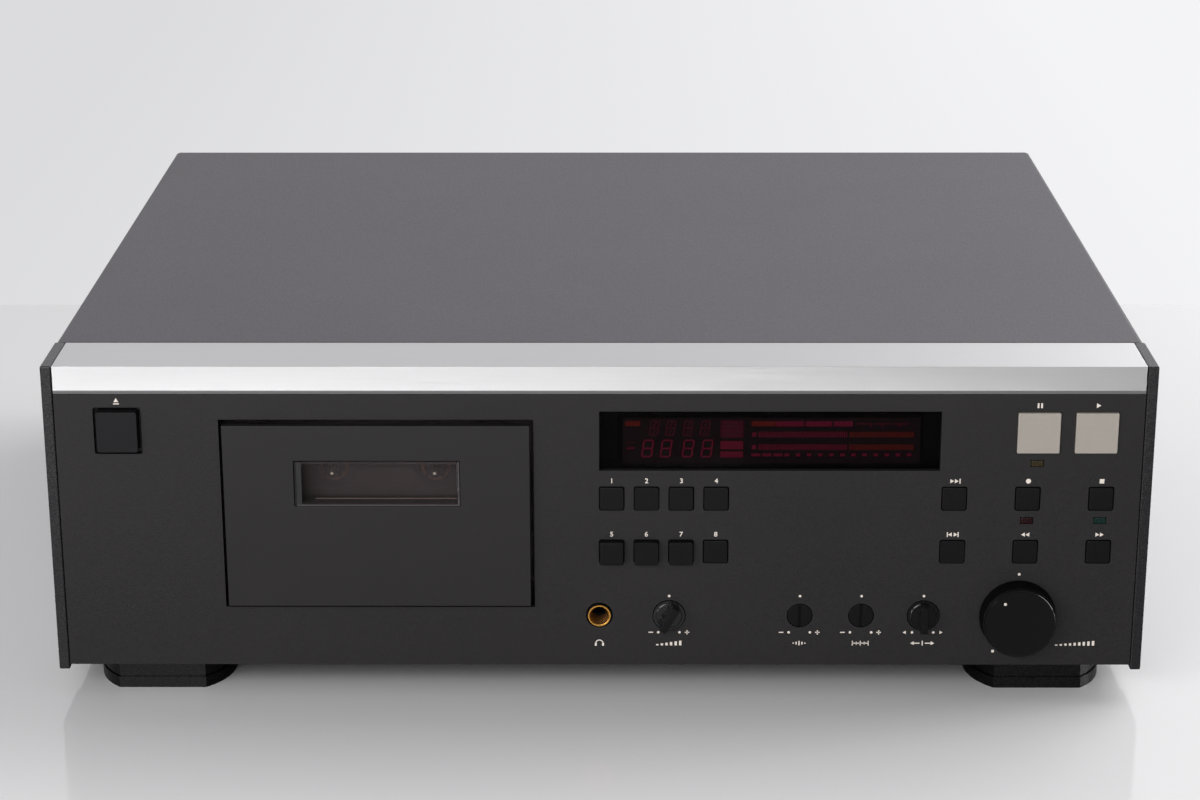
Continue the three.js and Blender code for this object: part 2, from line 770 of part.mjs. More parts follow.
function addSpindles() {
  const fin = spindleFin;
  const finFront = spindleTip + spindleFinInset;
  const tableBack = plateFront - tableGap;
  const tableFront = tableBack - tableThickness;
  const body = turned([
    [0, spindleTip],
    [spindleRadius, spindleTip + spindleNose],
    [spindleRadius, tableFront],
    [tableRadius, tableFront],
    [tableRadius, tableBack],
    [shaftRadius, tableBack],
    [shaftRadius, plateBack + shaftTail],
    [0, plateBack + shaftTail]
  ]);
  const finBack = tableFront + tableThickness / 2;
  const blade = block(-spindleFinWidth / 2, spindleFinWidth / 2, finFront, finBack, 0, fin);
  const fins = [0, 120, 240].map((angle) => blade.rotate([0, angle, 0]));
  const spindle = joined([body, ...fins]);
  const can = rod(motorRadius, plateBack + seat, plateBack + seat + motorLength, 0, 0, wheelSteps);
  const bore = rod(shaftRadius + seat, plateBack - overrun, plateBack + shaftTail + seat);
  const motor = can.subtract(bore);
  for (const [side, x] of [['supply', leftSpindle], ['take_up', rightSpindle]]) {
    place(`${side}_spindle`, spindle, 'blackPlastic', x, 0, spindleHeight);
    place(`${side}_motor`, motor, 'zincSteel', x, 0, spindleHeight);
  }
}

function addCapstans() {
  const capstan = turned([
    [0, capstanTip],
    [capstanRadius, capstanTip],
    [capstanRadius, capstanStep],
    [capstanShaft, capstanStep],
    [capstanShaft, flywheelBack],
    [flywheelRadius, flywheelBack],
    [flywheelRadius, flywheelBack + flywheelThickness],
    [0, flywheelBack + flywheelThickness]
  ], wheelSteps);
  place('left_capstan', capstan, 'brightSteel', leftCapstan, 0, capstanHeight);
  place('right_capstan', capstan, 'brightSteel', rightCapstan, 0, capstanHeight);
}

function armPivotX(side) {
  return spindleMiddle + side * (capstanSpacing / 2 + armReach);
}

function armPivotZ() {
  return capstanHeight - armDrop;
}

// The arm is drawn about its pivot with the roller drawn back from the capstan
function pinchArm(side) {
  const rise = armDrop - capstanRadius - rollerRadius - rollerNip;
  const length = Math.hypot(armReach, rise);
  const angle = Math.atan2(rise, armReach) - armSwing * Math.PI / 180;
  const x = -side * length * Math.cos(angle);
  const z = length * Math.sin(angle);
  const bar = block(0, length, armFront, armBack, -armHalfHeight, armHalfHeight);
  const tilted = bar.rotate([0, side > 0 ? 180 + angle * 180 / Math.PI : -angle * 180 / Math.PI, 0]);
  return joined([
    tilted,
    rod(armHalfHeight, armFront, armBack, x, z),
    rod(rollerRadius, rollerFront, rollerBack, x, z, roundSteps),
    rod(armPin, rollerFront, armBack, x, z),
    rod(armHalfHeight, armFront, plateFront - seat),
    rod(armPin, armFront, plateBack)
  ]);
}

function addPinchRollers() {
  place('left_pinch_roller', pinchArm(-1), 'rubber', armPivotX(-1), 0, armPivotZ());
  place('right_pinch_roller', pinchArm(1), 'rubber', armPivotX(1), 0, armPivotZ());
}

function addHeadBridge() {
  const back = plateFront - seat;
  const base = block(-bridgeWidth / 2, bridgeWidth / 2, bridgeFront, back, bridgeLow, bridgeTop);
  const shelf = block(-headWidth / 2, headWidth / 2, headFront, back, bridgeLow, bridgeTop);
  const heads = block(-headWidth / 2, headWidth / 2, headFront, headBack, bridgeLow, headTop);
  const notchWidth = headWidth * headShare / 2;
  const notches = [-1, 1].map((side) => {
    const middle = side * headWidth * headShare;
    return block(middle - notchWidth / 2, middle + notchWidth / 2, headFront - overrun, headBack + overrun,
      bridgeTop, headTop + overrun);
  });
  place('head_bridge', without(joined([base, shelf, heads]), notches), 'brightSteel', spindleMiddle);
}

// Buttons and keys
function addEject() {
  const outline = rectangle(ejectWidth, ejectHeight, ejectCorner);
  openPanel(rectangle(ejectWidth + 2 * ejectGap, ejectHeight + 2 * ejectGap, ejectCorner), ejectX, ejectZ);
  const lipGrow = 2 * (ejectGap + ejectLip);
  const lip = rectangle(ejectWidth + lipGrow, ejectHeight + lipGrow);
  const lipBack = panelBack + ejectLipThickness;
  const button = joined([
    prismY(outline, -ejectProud, lipBack),
    prismY(lip, panelBack, lipBack),
    rod(ejectStem, lipBack - ejectLipThickness / 2, plateBack - ejectTravel)
  ]);
  place('eject_button', button, 'ejectPlastic', ejectX, 0, ejectZ);
}

const switchPlaces = [];

function addKey(name, size, corner, proud, travel, finish, x, z) {
  openPanel(rectangle(size + 2 * keyGap, size + 2 * keyGap, corner), x, z);
  const key = joined([
    prismY(rectangle(size, size, corner), -proud, keyDepth),
    rod(stemRadius, keyDepth - stemRadius, stemEnd)
  ]);
  place(name, key, finish, x, 0, z);
  switchPlaces.push([x, z, stemEnd + travel + seat]);
}

function addKeys() {
  const upperNames = ['time', 'memory', 'reset', 'loop'];
  const lowerNames = ['noise_reduction', 'noise_curve', 'pilot_filter', 'monitor'];
  upperNames.forEach((name, column) => {
    const x = keyColumn + column * keyPitch;
    addKey(`${name}_key`, keySize, keyCorner, keyProud, keyTravel, 'blackPlastic', x, upperRow);
  });
  lowerNames.forEach((name, column) => {
    const latching = name !== 'monitor';
    const proud = latching ? latchProud : keyProud;
    const travel = latching ? latchTravel : keyTravel;
    const x = keyColumn + column * keyPitch;
    addKey(`${name}_key`, keySize, keyCorner, proud, travel, 'blackPlastic', x, lowerRow);
  });
  const tapeKeys = [
    ['quick_search_key', searchColumn, upperRow],
    ['auto_search_key', searchColumn, lowerRow],
    ['record_key', recordColumn, upperRow],
    ['rewind_key', recordColumn, lowerRow],
    ['stop_key', stopColumn, upperRow],
    ['forward_key', stopColumn, lowerRow]
  ];
  for (const [name, x, z] of tapeKeys) {
    addKey(name, keySize, keyCorner, keyProud, keyTravel, 'blackPlastic', x, z);
  }
  for (const [name, x] of [['pause_key', pauseColumn], ['play_key', playColumn]]) {
    addKey(name, wideKeySize, wideKeyCorner, wideKeyProud, keyTravel, 'greyPlastic', x, wideKeyRow);
  }
}

function addControlBoard() {
  const pieces = [block(boardLeft, boardRight, boardFront, boardBack, boardLow, boardTop)];
  const cuts = [];
  for (const [x, z, boreEnd] of switchPlaces) {
    const can = at(rectangle(switchSize, switchSize), x, z);
    pieces.push(prismY(can, switchFront, boardFront + boardThickness / 2));
    cuts.push(rod(stemRadius + seat, switchFront - overrun, boreEnd, x, z));
  }
  for (const x of [boardLeft + boardPostInset, boardRight - boardPostInset]) {
    for (const z of [boardLow + boardPostInset, boardTop - boardPostInset]) {
      pieces.push(rod(boardPost, panelBack, boardBack, x, z));
    }
  }
  const tubeBack = tubeFront + tubeThickness + seat;
  for (const side of [-1, 1]) {
    const x = tubeMiddle() + side * tubeWidth * tubePostShare;
    pieces.push(rod(boardPost, tubeBack, boardBack, x, displayMiddle));
  }
  place('control_board', without(joined(pieces), cuts), 'circuitBoard');
}

function tubeMiddle() {
  return displayLeft + displayWidth / 2 + tubeShift;
}

function addDisplay() {
  const middleX = displayLeft + displayWidth / 2;
  openPanel(rectangle(displayWidth, displayHeight), middleX, displayMiddle);
  const lens = prismY(rectangle(displayWidth - 2 * seat, displayHeight - 2 * seat), 0, lensThickness);
  place('display_lens', lens, 'smokedGlass', middleX, lensFront, displayMiddle);
  const tube = prismY(rectangle(tubeWidth, tubeHeight), 0, tubeThickness);
  place('display_tube', tube, 'tubeGlass', tubeMiddle(), tubeFront, displayMiddle);
}

function addLamps() {
  const lamp = prismY(rectangle(lampWidth, lampHeight), -lampProud, boardFront - seat);
  const lamps = [
    ['pause_lamp', 'amberLens', pauseColumn, pauseLampZ],
    ['record_lamp', 'redLens', recordColumn, lowerLampZ],
    ['play_lamp', 'greenLens', stopColumn, lowerLampZ]
  ];
  for (const [name, finish, x, z] of lamps) {
    openPanel(rectangle(lampWidth + 2 * lampGap, lampHeight + 2 * lampGap), x, z);
    place(name, lamp, finish, x, 0, z);
  }
}

// Rotary controls
function dial(lean) {
  const floor = dialDish - dialRim;
  const back = panelThickness - seat;
  const disc = turned([
    [0, floor - dialRim],
    [dialRadius - dialEdge - dialDish / 2, floor],
    [dialRadius - dialEdge, -dialRim],
    [dialRadius, -dialRim],
    [dialRadius, back],
    [dialShaft, back],
    [dialShaft, panelBack + canLength - dialShaft],
    [0, panelBack + canLength - dialShaft]
  ], wheelSteps);
  const grip = block(-gripWidth / 2, gripWidth / 2, -gripProud, back - dialRim, -gripLength / 2, gripLength / 2);
  return disc.add(grip).rotate([0, lean, 0]);
}

function trimmer() {
  const back = panelThickness - seat;
  const disc = turned([
    [0, 0],
    [trimmerRadius, 0],
    [trimmerRadius, back],
    [dialShaft, back],
    [dialShaft, panelBack + canLength - dialShaft],
    [0, panelBack + canLength - dialShaft]
  ]);
  const slot = block(-trimmerSlot / 2, trimmerSlot / 2, -overrun, trimmerSlotDepth, -dialRadius, dialRadius);
  return disc.subtract(slot);
}

function levelKnob() {
  return turned([
    [0, -levelProud],
    [levelFaceRadius, -levelProud],
    [levelShoulderRadius, levelShoulder - levelProud],
    [levelBaseRadius, -seat],
    [levelShaft, -seat],
    [levelShaft, panelBack + canLength - dialShaft],
    [0, panelBack + canLength - dialShaft]
  ], wheelSteps);
}

const dialPlaces = [];

function addDial(name, solid, hole, shaft, x) {
  openPanel(circle(hole), x, dialHeight);
  place(name, solid, 'blackPlastic', x, 0, dialHeight);
  dialPlaces.push([x, shaft]);
}

function addDials() {
  addDial('volume_knob', dial(pointerRest), dialRadius + seat, dialShaft, volumeX);
  addDial('bias_trimmer', trimmer(), trimmerRadius + seat, dialShaft, biasX);
  addDial('calibration_trimmer', trimmer(), trimmerRadius + seat, dialShaft, calibrationX);
  addDial('balance_knob', dial(0), dialRadius + seat, dialShaft, balanceX);
  addDial('input_level_knob', levelKnob(), levelShaft + seat, levelShaft, levelX);
}

function addDialBoard() {
  const boardStart = panelBack + canLength;
  const low = dialHeight - canBoardDrop;
  const high = dialHeight + canBoardRise;
  const left = volumeX - canRadius - canBoardMargin;
  const right = levelX + canRadius + canBoardMargin;
  const pieces = [block(left, right, boardStart, boardStart + boardThickness, low, high)];
  const cuts = [];
  for (const [x, shaft] of dialPlaces) {
    pieces.push(rod(canRadius, panelBack, boardStart + boardThickness / 2, x, dialHeight, roundSteps));
    cuts.push(rod(shaft + seat, panelBack - overrun, boardStart - seat, x, dialHeight));
  }
  place('dial_board', without(joined(pieces), cuts), 'circuitBoard');
}

// Phones socket
function addPhonesSocket() {
  openPanel(circle(jackHole), jackX, jackZ);
  const tube = rod(jackSleeve, -jackProud, jackLength, 0, 0, wheelSteps);
  const bore = turned([
    [0, -jackProud - overrun],
    [jackMouth, -jackProud - overrun],
    [jackMouth, -jackProud],
    [jackBore, jackMouthDepth - jackProud],
    [jackBore, jackLength + overrun],
    [0, jackLength + overrun]
  ], wheelSteps);
  place('phones_socket_sleeve', tube.subtract(bore), 'gold', jackX, 0, jackZ);
  const body = prismY(rectangle(jackBody, jackBody), panelBack, jackBodyBack);
  const hole = rod(jackSleeve + seat, panelBack - overrun, jackLength + seat, 0, 0, wheelSteps);
  place('phones_socket_body', body.subtract(hole), 'blackPlastic', jackX, 0, jackZ);
}

// Electronics in the tray
function addMainBoard() {
  const top = mainHeight + boardThickness;
  const pieces = [block(mainLeft, mainRight, mainFront, mainBack, mainHeight, top)];
  for (const x of [mainLeft + mainPostInset, mainRight - mainPostInset]) {
    for (const y of [mainFront + mainPostInset, mainBack - mainPostInset]) {
      pieces.push(rodZ(mainPost, trayFloor + seat, top, x, y));
    }
  }
  const middle = (mainLeft + mainRight) / 2;
  const sinkFront = mainBack - heatSinkFinReach - heatSinkBase - mainPostInset * 2;
  const sinkTop = top + heatSinkHeight;
  const below = mainHeight + boardThickness / 2;
  pieces.push(block(middle - heatSinkLength / 2, middle + heatSinkLength / 2, sinkFront,
    sinkFront + heatSinkBase, below, sinkTop));
  for (let fin = 0; fin < heatSinkFins; fin += 1) {
    const left = middle - heatSinkLength / 2 + fin / (heatSinkFins - 1) * (heatSinkLength - heatSinkFin);
    pieces.push(block(left, left + heatSinkFin, sinkFront + heatSinkBase / 2, sinkFront + heatSinkFinReach,
      below, sinkTop));
  }
  for (const step of [0, 1, 2]) {
    const x = mainLeft + mainPostInset * 2 + capacitorRadius + step * capacitorPitch;
    pieces.push(rodZ(capacitorRadius, below, top + capacitorHeight, x, sinkFront));
  }
  place('main_board', joined(pieces), 'circuitBoard');
}

function addTransformer() {
  const low = trayFloor + seat;
  const core = block(coreLeft, coreLeft + coreLength, coreFront, coreFront + coreWidth, low, low + coreHeight);
  const coil = block(coreLeft + coilMargin, coreLeft + coreLength - coilMargin, coreFront - coilReach,
    coreFront + coreWidth + coilReach, low + coilMargin, low + coreHeight - coilMargin);
  place('mains_transformer', core.add(coil), 'zincSteel');
}

function addLineSockets() {
  const blockBack = rearFront - seat;
  const lineEnd = rearFace + lineBarrelReach;
  const span = linePitch + 2 * lineBlockMargin;
  const pieces = [prismY(at(rectangle(span, span), lineX, lineZ), blockBack - lineBlockDepth, blockBack)];
  const cuts = [];
  for (const [x, z] of linePlaces()) {
    pieces.push(rod(lineBarrel, blockBack - lineBlockDepth / 2, lineEnd, x, z, roundSteps));
    cuts.push(rod(linePin, lineEnd - linePinDepth, lineEnd + overrun, x, z));
  }
  place('line_sockets', without(joined(pieces), cuts), 'brightSteel');
}

function addMainsInlet() {
  const flangeFront = rearFace + seat;
  const flangeBack = flangeFront + inletFlangeThickness;
  const shell = joined([
    prismY(rectangle(inletWidth, inletHeight), flangeBack - inletDepth, flangeBack),
    prismY(rectangle(inletWidth + 2 * inletFlange, inletHeight + 2 * inletFlange), flangeFront, flangeBack)
  ]);
  const floor = flangeBack - inletPocket;
  const pocket = prismY(rectangle(inletWidth - 2 * inletWall, inletHeight - 2 * inletWall), floor,
    flangeBack + overrun);
  const blades = [-1, 0, 1].map((column) => prismY(
    at(rectangle(bladeWidth, bladeHeight), column * bladeSpread / 2, column === 0 ? bladeRaise : 0),
    floor - inletWall / 2,
    floor + bladeLength
  ));
  place('mains_inlet', joined([shell.subtract(pocket), ...blades]), 'blackPlastic', inletX, 0, inletZ);
}

function addFrontPanel() {
  const plate = block(-panelHalf, panelHalf, 0, panelThickness, panelLift, panelTop);
  const cuts = panelHoles.map((hole) => prismY(hole, -overrun, panelThickness + overrun));
  place('front_panel', without(plate, cuts), 'panelPaint');
}

addCheeks();
addCover();
addTray();
addRearPanel();
addTrimBar();
addFrame();
addFeet();
addDoor();
addChassis();
addSpindles();
addCapstans();
addPinchRollers();
addHeadBridge();
addEject();
addKeys();
addDisplay();
addLamps();
addDials();
addDialBoard();
addPhonesSocket();
addControlBoard();
addMainBoard();
addTransformer();
addLineSockets();
addMainsInlet();
addFrontPanel();

export default deck;
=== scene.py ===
"""Front-loading cassette deck: finishes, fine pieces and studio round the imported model."""
import json
import math

import bpy
from mathutils import Matrix, Vector

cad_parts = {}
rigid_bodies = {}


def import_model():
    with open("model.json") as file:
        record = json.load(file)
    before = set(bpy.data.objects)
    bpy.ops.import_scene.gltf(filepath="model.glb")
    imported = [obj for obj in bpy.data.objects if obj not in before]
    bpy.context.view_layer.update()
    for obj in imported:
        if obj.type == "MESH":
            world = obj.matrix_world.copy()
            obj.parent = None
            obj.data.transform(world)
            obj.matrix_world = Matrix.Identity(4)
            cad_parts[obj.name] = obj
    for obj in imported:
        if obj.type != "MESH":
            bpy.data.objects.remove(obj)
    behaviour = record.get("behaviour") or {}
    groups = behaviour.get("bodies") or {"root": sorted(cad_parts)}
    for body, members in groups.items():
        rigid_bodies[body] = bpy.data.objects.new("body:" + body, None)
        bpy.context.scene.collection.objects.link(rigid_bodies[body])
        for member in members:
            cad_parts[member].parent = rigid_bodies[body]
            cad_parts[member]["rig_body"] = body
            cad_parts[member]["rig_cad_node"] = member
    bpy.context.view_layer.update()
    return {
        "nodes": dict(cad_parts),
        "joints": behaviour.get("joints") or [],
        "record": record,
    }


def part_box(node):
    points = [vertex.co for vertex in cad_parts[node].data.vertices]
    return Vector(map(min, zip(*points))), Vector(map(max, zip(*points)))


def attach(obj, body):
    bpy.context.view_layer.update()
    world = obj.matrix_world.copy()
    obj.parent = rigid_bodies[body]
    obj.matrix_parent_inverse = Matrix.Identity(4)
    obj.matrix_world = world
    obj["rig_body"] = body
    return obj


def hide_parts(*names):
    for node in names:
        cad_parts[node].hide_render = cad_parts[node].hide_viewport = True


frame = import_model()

bl_info = {
    "name": "Cassette deck",
    "version": (1, 0, 0),
    "blender": (4, 5, 0),
    "location": "3D View > Sidebar > Deck",
    "description": "Finishes and fine pieces of a front-loading cassette deck",
    "category": "Object",
}

RECORD = frame["record"]
BODY = {node: body for body, nodes in RECORD["behaviour"]["bodies"].items() for node in nodes}
MM = 0.001

# Places on the front count from the panel's face and from the foot of the cheeks
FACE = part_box("front_panel")[0].y
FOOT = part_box("left_cheek")[0].z
CAMERA_PLACE = Vector((0.00568, -1.25725, 0.487))
CAMERA_TURN = (71.609, -0.073, 0.283)  # tilt, roll and yaw in degrees
CAMERA_LENS = 84.19  # mm, on a sensor as wide as this
CAMERA_SENSOR = 36

SMOOTH_ANGLE = 35.0  # degrees between faces that still shade as one surface
SHARP_ANGLE = 50.0  # edges past this get their rounding
FLAT_ANGLE = 0.5  # faces that turn less than this against each other become one
MERGE_REACH = 0.001 * MM  # corners nearer to each other than this become one
CLOUD_SIZE = 60  # mm: slow change of tone under a material's grain
CLOUD_SHARE = 0.3

UPPER_KEYS = ("time_key", "memory_key", "reset_key", "loop_key")
LOWER_KEYS = ("noise_reduction_key", "noise_curve_key", "pilot_filter_key", "monitor_key")
TAPE_KEYS = ("quick_search_key", "auto_search_key", "record_key", "rewind_key", "stop_key", "forward_key")


# Colours and sizes that a user may change

def linear(code):
    """Linear colour of an sRGB hex code."""
    parts = [int(code[start:start + 2], 16) / 255 for start in (0, 2, 4)]
    return [p / 12.92 if p <= 0.04045 else ((p + 0.055) / 1.055) ** 2.4 for p in parts]


def colour(name, code, description):
    return bpy.props.FloatVectorProperty(
        name=name, description=description, default=linear(code), size=3, min=0, max=1, subtype="COLOR"
    )


def length(name, millimetres, description):
    return bpy.props.FloatProperty(
        name=name, description=description, default=millimetres * MM, min=0, unit="LENGTH", subtype="DISTANCE"
    )


def power(name, default, description):
    return bpy.props.FloatProperty(name=name, description=description, default=default, min=0)


class DeckColours(bpy.types.PropertyGroup):
    cover: colour("Cover", "4e4b51", "Powder coat of the top cover")
    trim: colour("Trim bar", "dfdedf", "Satin anodised bar along the top of the front")
    panel: colour("Panel", "252324", "Fine textured paint of the front panel")
    door: colour("Door", "252324", "Smoother paint of the cassette door")
    key: colour("Keys", "0f0f0f", "Small keys and dials")
    eject: colour("Eject button", "1c1b1d", "Eject button")
    light_key: colour("Light keys", "a19a91", "Pause and play keys")
    cheek: colour("Cheeks", "212022", "End cheeks")
    foot: colour("Feet", "0b0a0c", "Feet")
    printing: colour("Printing", "e1d7cd", "Printed signs on the panel")
    gilt: colour("Gilt", "f2b65c", "Phones socket")
    board: colour("Circuit board", "2f5a3c", "Solder mask of the main board")
    glow: colour("Display", "8c1038", "Main segments of the display")
    peak: colour("Display peaks", "94200c", "Peak segments of the display")
    floor: colour("Floor", "f0eff0", "Floor of the studio")


class DeckSizes(bpy.types.PropertyGroup):
    panel_edge: length("Panel edges", 0.2, "Rounding of the edges of painted sheet")
    key_edge: length("Key edges", 0.5, "Rounding of the small keys' faces")
    wide_key_edge: length("Wide key edges", 0.25, "Rounding of the pause, play and eject faces")
    moulded_edge: length("Moulded edges", 0.3, "Rounding of other moulded pieces")
    cheek_edge: length("Cheek edges", 0.6, "Rounding of the cheeks' edges")
    knob_edge: length("Grip edges", 0.2, "Rounding of the dials' grips")
    coat_grain: length("Coat grain", 0.8, "Grain of the powder coat, over its 0.3 mm so that it shows")
    paint_grain: length("Paint grain", 0.7, "Grain of the panel's paint, over its 0.25 mm likewise")
    print_height: length("Print thickness", 0.03, "How far printed signs stand on the panel")


class DeckStudio(bpy.types.PropertyGroup):
    daylight: power("Room light", 0.47, "Light from all round")
    key_power: power("Key lamp", 15.2, "Watts of the soft lamp at the front left")
    strip_power: power("Strip lamp", 7.0, "Watts of the low strip in front")
    top_power: power("Top lamp", 16.0, "Watts of the soft lamp over the deck")
    side_power: power("Side lamp", 8.5, "Watts of the soft lamp at the right")


# Materials

def add(tree, kind, values=None, links=None, output=0):
    """Adds a shader node with its settings and links, and gives one of its outputs."""
    node = tree.nodes.new("ShaderNode" + kind)
    for name, value in (values or {}).items():
        if isinstance(name, int) or name in node.inputs:
            node.inputs[name].default_value = value
        else:
            setattr(node, name, value)
    for name, source in (links or {}).items():
        tree.links.new(source, node.inputs[name])
    return node.outputs[output] if node.outputs else None


def shaded(tone, factor=1.0):
    """Colour as a socket takes it, from a hex code or a linear colour, lighter or darker by a factor."""
    parts = linear(tone) if isinstance(tone, str) else tone
    return [min(1.0, part * factor) for part in parts] + [1.0]


def grained(name, tone, roughness, grain, relief, shade=0.05, spread=0.05, stretch=(1, 1, 1), **sockets):
    """Material whose colour, roughness and height vary with a grain: grain and relief in millimetres."""
    material = bpy.data.materials.new(name)
    material.use_nodes = True
    tree = material.node_tree
    shader = tree.nodes["Principled BSDF"]
    for socket, value in sockets.items():
        shader.inputs[socket.replace("_", " ")].default_value = value
    place = add(tree, "TexCoord", output="Object")
    drawn = add(tree, "Mapping", {"Scale": stretch}, {"Vector": place})
    speck, cloud = (
        add(tree, "TexNoise", {"Scale": 1 / (size * MM), "Detail": 2.0}, {"Vector": vector})
        for size, vector in ((grain, drawn), (CLOUD_SIZE, place))
    )
    both = add(tree, "Math", {"operation": "MULTIPLY_ADD", 1: CLOUD_SHARE}, {0: cloud, 2: speck})
    mixed = add(tree, "MapRange", {"From Min": 0.45, "From Max": 0.85}, {"Value": both})
    tints = {6: shaded(tone, 1 - shade), 7: shaded(tone, 1 + shade)}
    low, high = roughness - spread, roughness + spread
    spread_out = {"From Min": 0.3, "From Max": 0.7, "To Min": low, "To Max": high}
    for socket, source in (
        ("Base Color", add(tree, "Mix", {"data_type": "RGBA", **tints}, {0: mixed}, 2)),
        ("Roughness", add(tree, "MapRange", spread_out, {"Value": speck})),
        ("Normal", add(tree, "Bump", {"Distance": relief * MM}, {"Height": speck})),
    ):
        tree.links.new(source, shader.inputs[socket])
    return material


def moulded_abs(name, tone, roughness, grain, relief, shade=0.05, spread=0.05, gloss=0.5):
    """Injection moulded ABS: the mould's grain sets how soft its sheen is."""
    return grained(name, tone, roughness, grain, relief, shade, spread, IOR=1.54, Specular_IOR_Level=gloss)


def smoked_acrylic(name, tone, density):
    """Cast acrylic with a smoke tint: sharp reflections over a dim view, with a faint haze of handling."""
    material = grained(name, tone, 0.06, 4, 0, 0.02, 0.03, IOR=1.49, Alpha=density, Specular_IOR_Level=0.27)
    material.surface_render_method = "BLENDED"
    return material


def brushed(name, tone, roughness):
    """Anodised aluminium brushed along its length, so that highlights spread across it."""
    material = grained(
        name, tone, roughness, 0.6, 0.002, 0.02, 0.04, (0.02, 1, 1), Metallic=1.0, Anisotropic=0.75
    )
    tree = material.node_tree
    tangent = add(tree, "Tangent", {"direction_type": "RADIAL", "axis": "X"})
    tree.links.new(tangent, tree.nodes["Principled BSDF"].inputs["Tangent"])
    return material


def glowing(name, tone, strength):
    """Fluorescent coating seen through its dark filter: colour that shines a little by itself; for the haze
    and the unlit segments that glow is painted light.
    """
    return grained(name, tone, 0.5, 1, 0, 0.15, Emission_Color=shaded(tone), Emission_Strength=strength)


